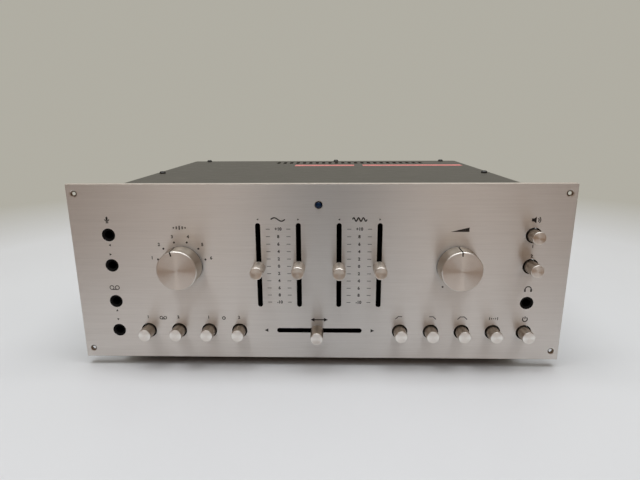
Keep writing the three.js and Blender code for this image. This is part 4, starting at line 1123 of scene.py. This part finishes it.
stripSizes = {
    "thickness": 0.12, "cornerRound": 0.8, "edge": 0.04,
    "spans": ((-33.5, 36.0), (46.0, 161.0)), "depth": (199.5, 214.5),  # behind the panel's face
}


def makeStrips():
    form = newForm()
    thickness = stripSizes["thickness"]
    near, far = (faceY + depth for depth in stripSizes["depth"])
    for left, right in stripSizes["spans"]:
        outline = rectangleOutline(left, right, near, far, (stripSizes["cornerRound"],) * 4)
        addPlate(form, [(outline, edgeRound(stripSizes["edge"], -1, 2) + [(0, thickness)])],
                 lambda u, v, depth: (u, v, coverTop + thickness - depth))
    placePiece(form, "cover_strips", "tape")


# A pan head screw upright on the cover, and the arm of the cross recess in it
screwSizes = {
    "profile": ((0, -7.0, 0), (1.5, -7.0, 0.3), (1.5, 0.05, 0), (3.0, 0.05, 0.15), (3.0, 1.2, 0.8),
                (2.0, 2.2, 0.5), (0, 2.2, 0)), "sides": 40,
    "arm": ((-1.9, -0.375, 0.9), (1.9, 0.375, 3.2)), "firstTurn": 0.35, "turnEach": 0.9,
}


def makeCoverScrews():
    sizes = screwSizes
    pan, arms = newForm(), [newForm(), newForm()]
    addTurned(pan, filleted(sizes["profile"]), sizes["sides"], axis="Z")
    for arm, turn in zip(arms, (0, math.pi / 2)):
        addBlock(arm, *sizes["arm"], 0, turn=Matrix.Rotation(turn, 3, "Z"))
    pan = carved(pan, *arms)
    for index, name in enumerate(screwNames):
        spot = (nodeMiddle(name).x, nodeMiddle(name).y, coverTop)
        turn = sizes["firstTurn"] + sizes["turnEach"] * index
        placePiece(pan, name + "_pan", "screw", replacing=name, place=spot, turn=(0, 0, turn))


makeCover()
makeStrips()
makeCoverScrews()
print("cover made")


# Feet, each with its screw in a recess: radius, height above the sole, rounding

footSizes = {
    "rubber": ((0, 5.0, 0), (4.5, 5.0, 0), (4.5, 0, 0.5), (11.1, 0, 0.96), (11.6, 8.494, 0.3),
               (12.0, 9.042, 0.3), (12.0, 13.7, 0.4), (0, 13.7, 0)), "rubberSides": 72,
    "screw": ((0, 2.6, 0), (2.9, 3.0, 0.4), (3.3, 5.0, 0), (0, 5.0, 0)), "screwSides": 32,
}


def makeFoot(name):
    spot = (nodeMiddle(name).x, nodeMiddle(name).y, nodeBox(name)[0].z)
    rubber, screw = newForm(), newForm()
    addTurned(rubber, filleted(footSizes["rubber"]), footSizes["rubberSides"], axis="Z")
    addTurned(screw, filleted(footSizes["screw"]), footSizes["screwSides"], axis="Z")
    placePiece(rubber, name + "_rubber", "rubber", replacing=name, place=spot)
    placePiece(screw, name + "_screw", "zinc", place=spot)


for name in ("foot_front_left", "foot_front_right", "foot_rear_left", "foot_rear_right"):
    makeFoot(name)
print("feet made")


# Back of the amplifier: strips of sockets and terminals, each a plate with a block behind it

rearStrips = {"cornerRound": 1.5, "edge": 0.4, "plate": 2.0, "blockInset": 5.0, "blockRound": 0.4}


def addStrip(form, node, plateBack):
    sizes = rearStrips
    low, high = nodeBox(node)
    outline = rectangleOutline(low.x, high.x, low.z, high.z, (sizes["cornerRound"],) * 4)
    addPlate(form, [(outline, edgeRound(sizes["edge"], -1) + [(0, sizes["plate"])])],
             lambda u, v, depth: (u, plateBack - depth, v))
    inset = sizes["blockInset"]
    addBlock(form, (low.x + inset, low.y, low.z + inset),
             (high.x - inset, plateBack - sizes["plate"] / 2, high.z - inset), sizes["blockRound"])


def gridSpots(node, plateBack, sizes):
    middle = nodeMiddle(node)
    for row in range(sizes["rows"]):
        z = middle.z + (row - (sizes["rows"] - 1) / 2) * sizes["rowPitch"]
        for column in range(sizes["columns"]):
            yield row, (middle.x + (column - (sizes["columns"] - 1) / 2) * sizes["pitch"], plateBack, z)


# Profiles are radius, how far beyond the plate, and rounding.
socketSizes = {
    "pitch": 20.0, "columns": 7, "rowPitch": 22.0, "rows": 2, "reach": 9.0, "sides": 40, "pinSides": 24,
    "shell": ((3.2, -0.3, 0), (5.6, -0.3, 0), (5.6, 1.2, 0.3), (4.1, 1.4, 0.2), (4.1, 9.0, 0.35),
              (3.55, 9.0, 0.15), (3.2, 8.1, 0)),
    "insulator": ((1.95, 1.5, 0), (3.18, 1.5, 0), (3.18, 7.7, 0.2), (1.95, 7.7, 0)),
    "pin": ((1.45, 1.0, 0), (1.9, 1.0, 0), (1.9, 7.2, 0.1), (1.45, 7.2, 0)),
}


def makeSockets():
    sizes = socketSizes
    plateBack = nodeBox("rca_socket_strip")[1].y - sizes["reach"]
    board, shells, inserts = newForm(), newForm(), newForm()
    addStrip(board, "rca_socket_strip", plateBack)
    for row, spot in gridSpots("rca_socket_strip", plateBack, sizes):
        addTurned(shells, filleted(sizes["shell"], 3), sizes["sides"], spot)
        addTurned(inserts, filleted(sizes["insulator"], 2), sizes["sides"], spot, tint=row)
        addTurned(inserts, filleted(sizes["pin"], 2), sizes["pinSides"], spot, tint=2)
    placePiece(board, "socket_board_plate", "socketBoard", replacing="rca_socket_strip")
    placePiece(shells, "socket_shells", "nickel")
    placePiece(inserts, "socket_inserts", ("redPlastic", "whitePlastic", "brass"))


# The third value of a point of the cap is the depth of its knurl.
terminalSizes = {
    "pitch": 16.0, "columns": 4, "rowPitch": 22.0, "rows": 2, "reach": 13.0,
    "boss": ((0, -0.2, 0), (5.6, -0.2, 0), (5.6, 0.9, 0.3), (0, 0.9, 0)), "bossSides": 36,
    "neck": ((0, 0.5), (2.6, 0.5), (2.6, 3.5), (0, 3.5)), "neckSides": 28, "capSides": 60,
    "cap": ((0, 3.0), (4.1, 3.0), (4.9, 3.5, 0.35), (5.0, 4.1, 0.35), (5.0, 11.7, 0.35),
            (4.65, 12.5, 0.35), (3.9, 13.0), (2.0, 13.0), (1.7, 12.5), (0, 12.5)),
}


def makeTerminals():
    sizes = terminalSizes
    plateBack = nodeBox("speaker_terminals")[1].y - sizes["reach"]
    base, posts, caps = newForm(), newForm(), newForm()
    addStrip(base, "speaker_terminals", plateBack)
    for index, (row, spot) in enumerate(gridSpots("speaker_terminals", plateBack, sizes)):
        addTurned(base, filleted(sizes["boss"]), sizes["bossSides"], spot)
        addTurned(posts, sizes["neck"], sizes["neckSides"], spot)
        addTurned(caps, sizes["cap"], sizes["capSides"], spot, tint=index % 2)
    placePiece(base, "terminal_base", "blackPlastic", replacing="speaker_terminals")
    placePiece(posts, "terminal_posts", "nickel")
    placePiece(caps, "terminal_caps", ("blackPlastic", "redPlastic"))


rearWall = nodeBox("rear_panel")[1].y
# The gland's start and end, and between them ribs: a rib's points are from its own outer radius and start.
glandSizes = {
    "start": ((3.7, -8.5, 0), (6.5, -8.5, 0.4), (6.5, 0, 0), (9.0, 0, 0.2), (9.0, 2.5, 0.6)),
    "end": ((5.4, 11.0, 0.4), (3.7, 11.0, 0)), "seat": 0.3, "sides": 48,
    "ribs": 4, "firstRib": (6.5, 2.5), "ribStep": (-0.125, 1.825),
    "rib": ((-0.9, 0, 0), (-0.9, 0.73, 0), (0, 0.9125, 0.15), (0, 1.73375, 0.15)),
}


def makeGland():
    sizes = glandSizes
    middle = nodeMiddle("cord_gland")
    profile = [*sizes["start"]]
    for rib in range(sizes["ribs"]):
        outer, start = (first + rib * step for first, step in zip(sizes["firstRib"], sizes["ribStep"]))
        profile += [(outer + inset, start + along, rounding) for inset, along, rounding in sizes["rib"]]
    form = newForm()
    addTurned(form, filleted([*profile, *sizes["end"]], 3), sizes["sides"])
    placePiece(form, "gland_moulded", "blackPlastic", replacing="cord_gland",
               place=(middle.x, rearWall + sizes["seat"], middle.z))


# Outlets, a fuse holder, a ground post and screws. Profiles are radius, along and rounding or knurl.
backDetails = {
    "outletMiddle": (-108.0, 86.0), "outletPitch": 30.0, "outletSize": (24.0, 13.0), "outletDepth": 4.5,
    "outletRound": 2.0, "outletEdge": 0.6, "slit": (1.8, 6.8), "slitSpread": 3.6, "slitRound": 0.2,
    "fuse": (-103.0, 40.0), "fuseBar": ((-4.2, 9.2, -0.7), (4.2, 10.6, 0.7)), "fuseSides": 48,
    "fuseProfile": ((0, 0, 0), (8.0, 0, 0), (8.0, 2.2, 0.5), (6.2, 2.6, 0.2), (6.2, 9.5, 0.8), (0, 9.5, 0)),
    "ground": (0.0, 46.0), "groundSides": 48,
    "groundProfile": ((0, 0), (4.6, 0), (4.6, 0.8), (1.9, 0.9), (1.9, 3.2), (3.6, 3.3, 0.3), (3.9, 3.9, 0.3),
                      (3.9, 9.0, 0.3), (3.4, 9.6, 0.3), (0, 9.6)),
    "screwInset": (7.0, 6.0, 20.0), "screwSides": 28,
    "screwProfile": ((0, 0, 0), (2.9, 0, 0), (2.9, 0.7, 0.4), (1.2, 1.9, 0.5), (0, 2.0, 0)),
}


def addOutlet(form, x, z):
    details = backDetails
    (width, height), depth = details["outletSize"], details["outletDepth"]
    (slitWidth, slitHeight), slitRound = details["slit"], details["slitRound"]
    outer = rectangleOutline(x - width / 2, x + width / 2, z - height / 2, z + height / 2,
                             (details["outletRound"],) * 4)
    loops = [(outer, edgeRound(details["outletEdge"], -1) + [(0, depth)])]
    for side in (-1, 1):
        left, low = x + side * details["slitSpread"] - slitWidth / 2, z - slitHeight / 2
        slit = rectangleOutline(left, left + slitWidth, low, low + slitHeight, (slitRound,) * 4, 2)
        loops.append((slit, [(0, 0), (0, depth)]))
    addPlate(form, loops, lambda u, v, d: (u, rearWall + depth - d, v))


def makeBackDetails():
    details = backDetails
    low, high = nodeBox("rear_panel")
    mouldings, metal = newForm(), newForm()
    x, z = details["outletMiddle"]
    for row in (-0.5, 0.5):
        addOutlet(mouldings, x, z + row * details["outletPitch"])
    spot = Vector((details["fuse"][0], rearWall, details["fuse"][1]))
    addTurned(mouldings, filleted(details["fuseProfile"]), details["fuseSides"], spot)
    addBlock(mouldings, *[Vector(corner) + spot for corner in details["fuseBar"]])
    x, z = details["ground"]
    addTurned(metal, details["groundProfile"], details["groundSides"], (x, rearWall, z))
    insetX, insetLow, insetHigh = details["screwInset"]
    for x in (low.x + insetX, 0.0, high.x - insetX):
        for z in (low.z + insetLow, high.z - insetHigh):
            addTurned(metal, filleted(details["screwProfile"]), details["screwSides"], (x, rearWall, z))
    placePiece(mouldings, "outlets_and_fuse", "blackPlastic")
    placePiece(metal, "ground_post_and_screws", "nickel")


makeSockets()
makeTerminals()
makeGland()
makeBackDetails()
print("back made")


# Studio: pale floor, pale surroundings and soft lamps. Its lengths are in metres.

studio = {
    "floorColor": (0.705, 0.728, 0.757), "floorDarker": 0.97, "floorClouds": (3, 3.0, 0.5),
    "floorRough": 0.3, "floorGloss": 0.3, "floorSize": 6.0, "farFade": (0.55, 1.0), "frontFade": (0.31, 0.40),
    "frontRound": 0.8, "mirrorStart": 0.18,
    "room": (0.215, 0.14, 0.095), "wall": (0.435, 0.42, 0.365),
    "wallStart": (-0.1, 0.3), "behind": (0.2, 0.8),
    # abs(x / y) of a direction before the panel, and how bright the room is there: dim in its middle
    "roomShares": ((0.0, (0.06, 0.05, 0.04)), (0.06, (0.24, 0.21, 0.18)), (0.12, (0.62, 0.58, 0.53)),
                   (0.22, (1.70, 1.86, 1.99)), (0.30, (1.76, 1.96, 2.12)), (0.42, (1.32, 1.41, 1.48)),
                   (0.55, (1.02, 1.07, 1.12)), (0.75, (0.94, 0.96, 0.98)), (1.0, (0.88, 0.89, 0.90))),
    "ceiling": (0.84, 0.825, 0.80), "ceilingRise": (0.45, 0.95),
}
lamps = {
    "left_lamp": {"place": (-0.50, -0.15, 1.7), "aim": (0, -0.15, 0), "size": (0.7, 1.0), "power": 9.65},
    "right_lamp": {"place": (0.54, -0.15, 1.7), "aim": (0, -0.15, 0), "size": (0.7, 1.0), "power": 8.85},
}


def roomShare(tree, split, start=0.0):
    depth = reckon(tree, "SUBTRACT", split.outputs["Y"], start)
    aside = reckon(tree, "ABSOLUTE", reckon(tree, "DIVIDE", split.outputs["X"], depth))
    ramp = addNode(tree, "ShaderNodeValToRGB", {"Fac": aside})
    first, *others, last = studio["roomShares"]
    stops = ramp.color_ramp.elements
    for stop, (place, share) in zip(stops, (first, last)):
        stop.position = place
        stop.color = (*share, 1)
    for place, share in others:
        stops.new(place).color = (*share, 1)
    return ramp.outputs["Color"]


def makeFloor():
    half = studio["floorSize"] / 2
    form = newForm()
    addFaces(form, [(-half, -half, 0), (half, -half, 0), (half, half, 0), (-half, half, 0)], [[0, 1, 2, 3]])
    pale = studio["floorColor"]
    finish, tree, shader = startFinish("pale table", pale, studio["floorRough"], gloss=studio["floorGloss"])
    clouds = grain(tree, *studio["floorClouds"])
    feed(shader, blendColor(tree, clouds, [channel * studio["floorDarker"] for channel in pale], pale))
    points = addNode(tree, "ShaderNodeTexCoord").outputs["Object"]
    away = addNode(tree, "ShaderNodeVectorMath", {0: points}, operation="LENGTH").outputs["Value"]
    split = addNode(tree, "ShaderNodeSeparateXYZ", {"Vector": points})
    x, y = split.outputs["X"], split.outputs["Y"]
    bulge = reckon(tree, "MULTIPLY", reckon(tree, "MULTIPLY", x, x), studio["frontRound"])
    front = between(tree, reckon(tree, "SUBTRACT", bulge, y), 0, 1, *studio["frontFade"])
    fade = reckon(tree, "MAXIMUM", between(tree, away, 0, 1, *studio["farFade"]), front)
    room = mixColor(tree, 1, roomShare(tree, split, studio["mirrorStart"]), (*studio["room"], 1), "MULTIPLY")
    behind = between(tree, y, 0, 1, *studio["wallStart"])
    glow = addNode(tree, "ShaderNodeEmission", {"Color": mixColor(tree, behind, room, (*studio["wall"], 1))})
    blend = addNode(tree, "ShaderNodeMixShader",
                    {0: fade, 1: shader.outputs["BSDF"], 2: glow.outputs["Emission"]})
    tree.links.new(blend.outputs["Shader"], tree.nodes["Material Output"].inputs["Surface"])
    floor = bpy.data.objects.new("studio_floor", meshFrom(form, "studio_floor", [finish], 1))
    scene.collection.objects.link(floor)


# Bright overhead, a pale wall behind the amplifier and a dimmer, warmer room before it.
def makeSurroundings():
    world = bpy.data.worlds.new("studio")
    world.use_nodes = True
    scene.world = world
    tree = world.node_tree
    way = addNode(tree, "ShaderNodeTexCoord").outputs["Generated"]
    split = addNode(tree, "ShaderNodeSeparateXYZ", {"Vector": way})
    rise = between(tree, split.outputs["Z"], 0, 1, *studio["ceilingRise"])
    room, wall = (mixColor(tree, rise, (*studio[side], 1), (*studio["ceiling"], 1))
                  for side in ("room", "wall"))
    room = mixColor(tree, 1, roomShare(tree, split), room, "MULTIPLY")
    lit = mixColor(tree, between(tree, split.outputs["Y"], 0, 1, *studio["behind"]), room, wall)
    tree.links.new(lit, tree.nodes["Background"].inputs["Color"])


def hangLamps():
    for name, lamp in lamps.items():
        data = bpy.data.lights.new(name, "AREA")
        data.shape = "RECTANGLE"
        data.size, data.size_y = lamp["size"]
        data.energy = lamp["power"]
        light = bpy.data.objects.new(name, data)
        light.location = lamp["place"]
        aim = Vector(lamp["aim"]) - Vector(lamp["place"])
        light.rotation_euler = aim.to_track_quat("-Z", "Y").to_euler()
        scene.collection.objects.link(light)


makeFloor()
makeSurroundings()
hangLamps()
print("studio made")


# Camera at the photograph's place, found from the panel's four corners in the picture

photoView = {
    "focalPixels": 472.0, "imageWidth": 640, "sensor": 36.0, "clipStart": 0.01,
    "fromPanel": (10.42, -353.86, 189.28), "yaw": -1.533, "pitch": 14.152, "roll": -0.294,
}


def makeCamera():
    yaw, pitch, roll = (math.radians(photoView[name]) for name in ("yaw", "pitch", "roll"))
    forward = Vector((math.sin(yaw) * math.cos(pitch), math.cos(yaw) * math.cos(pitch), -math.sin(pitch)))
    right = Vector((math.cos(yaw), -math.sin(yaw), 0))
    up = right.cross(forward)
    tiltedRight = right * math.cos(roll) + up * math.sin(roll)
    tiltedUp = up * math.cos(roll) - right * math.sin(roll)
    data = bpy.data.cameras.new("photo_view")
    data.sensor_width = photoView["sensor"]
    data.lens = photoView["focalPixels"] / photoView["imageWidth"] * photoView["sensor"]
    data.clip_start = photoView["clipStart"]
    camera = bpy.data.objects.new("photo_view", data)
    place = Vector((0, faceY, panelLow.z)) + Vector(photoView["fromPanel"])
    turn = Matrix((tiltedRight, tiltedUp, -forward)).transposed().to_4x4()
    camera.matrix_world = Matrix.Translation(place * mm) @ turn
    scene.collection.objects.link(camera)
    scene.camera = camera


makeCamera()
scene.view_settings.view_transform = "Standard"
print("camera placed")
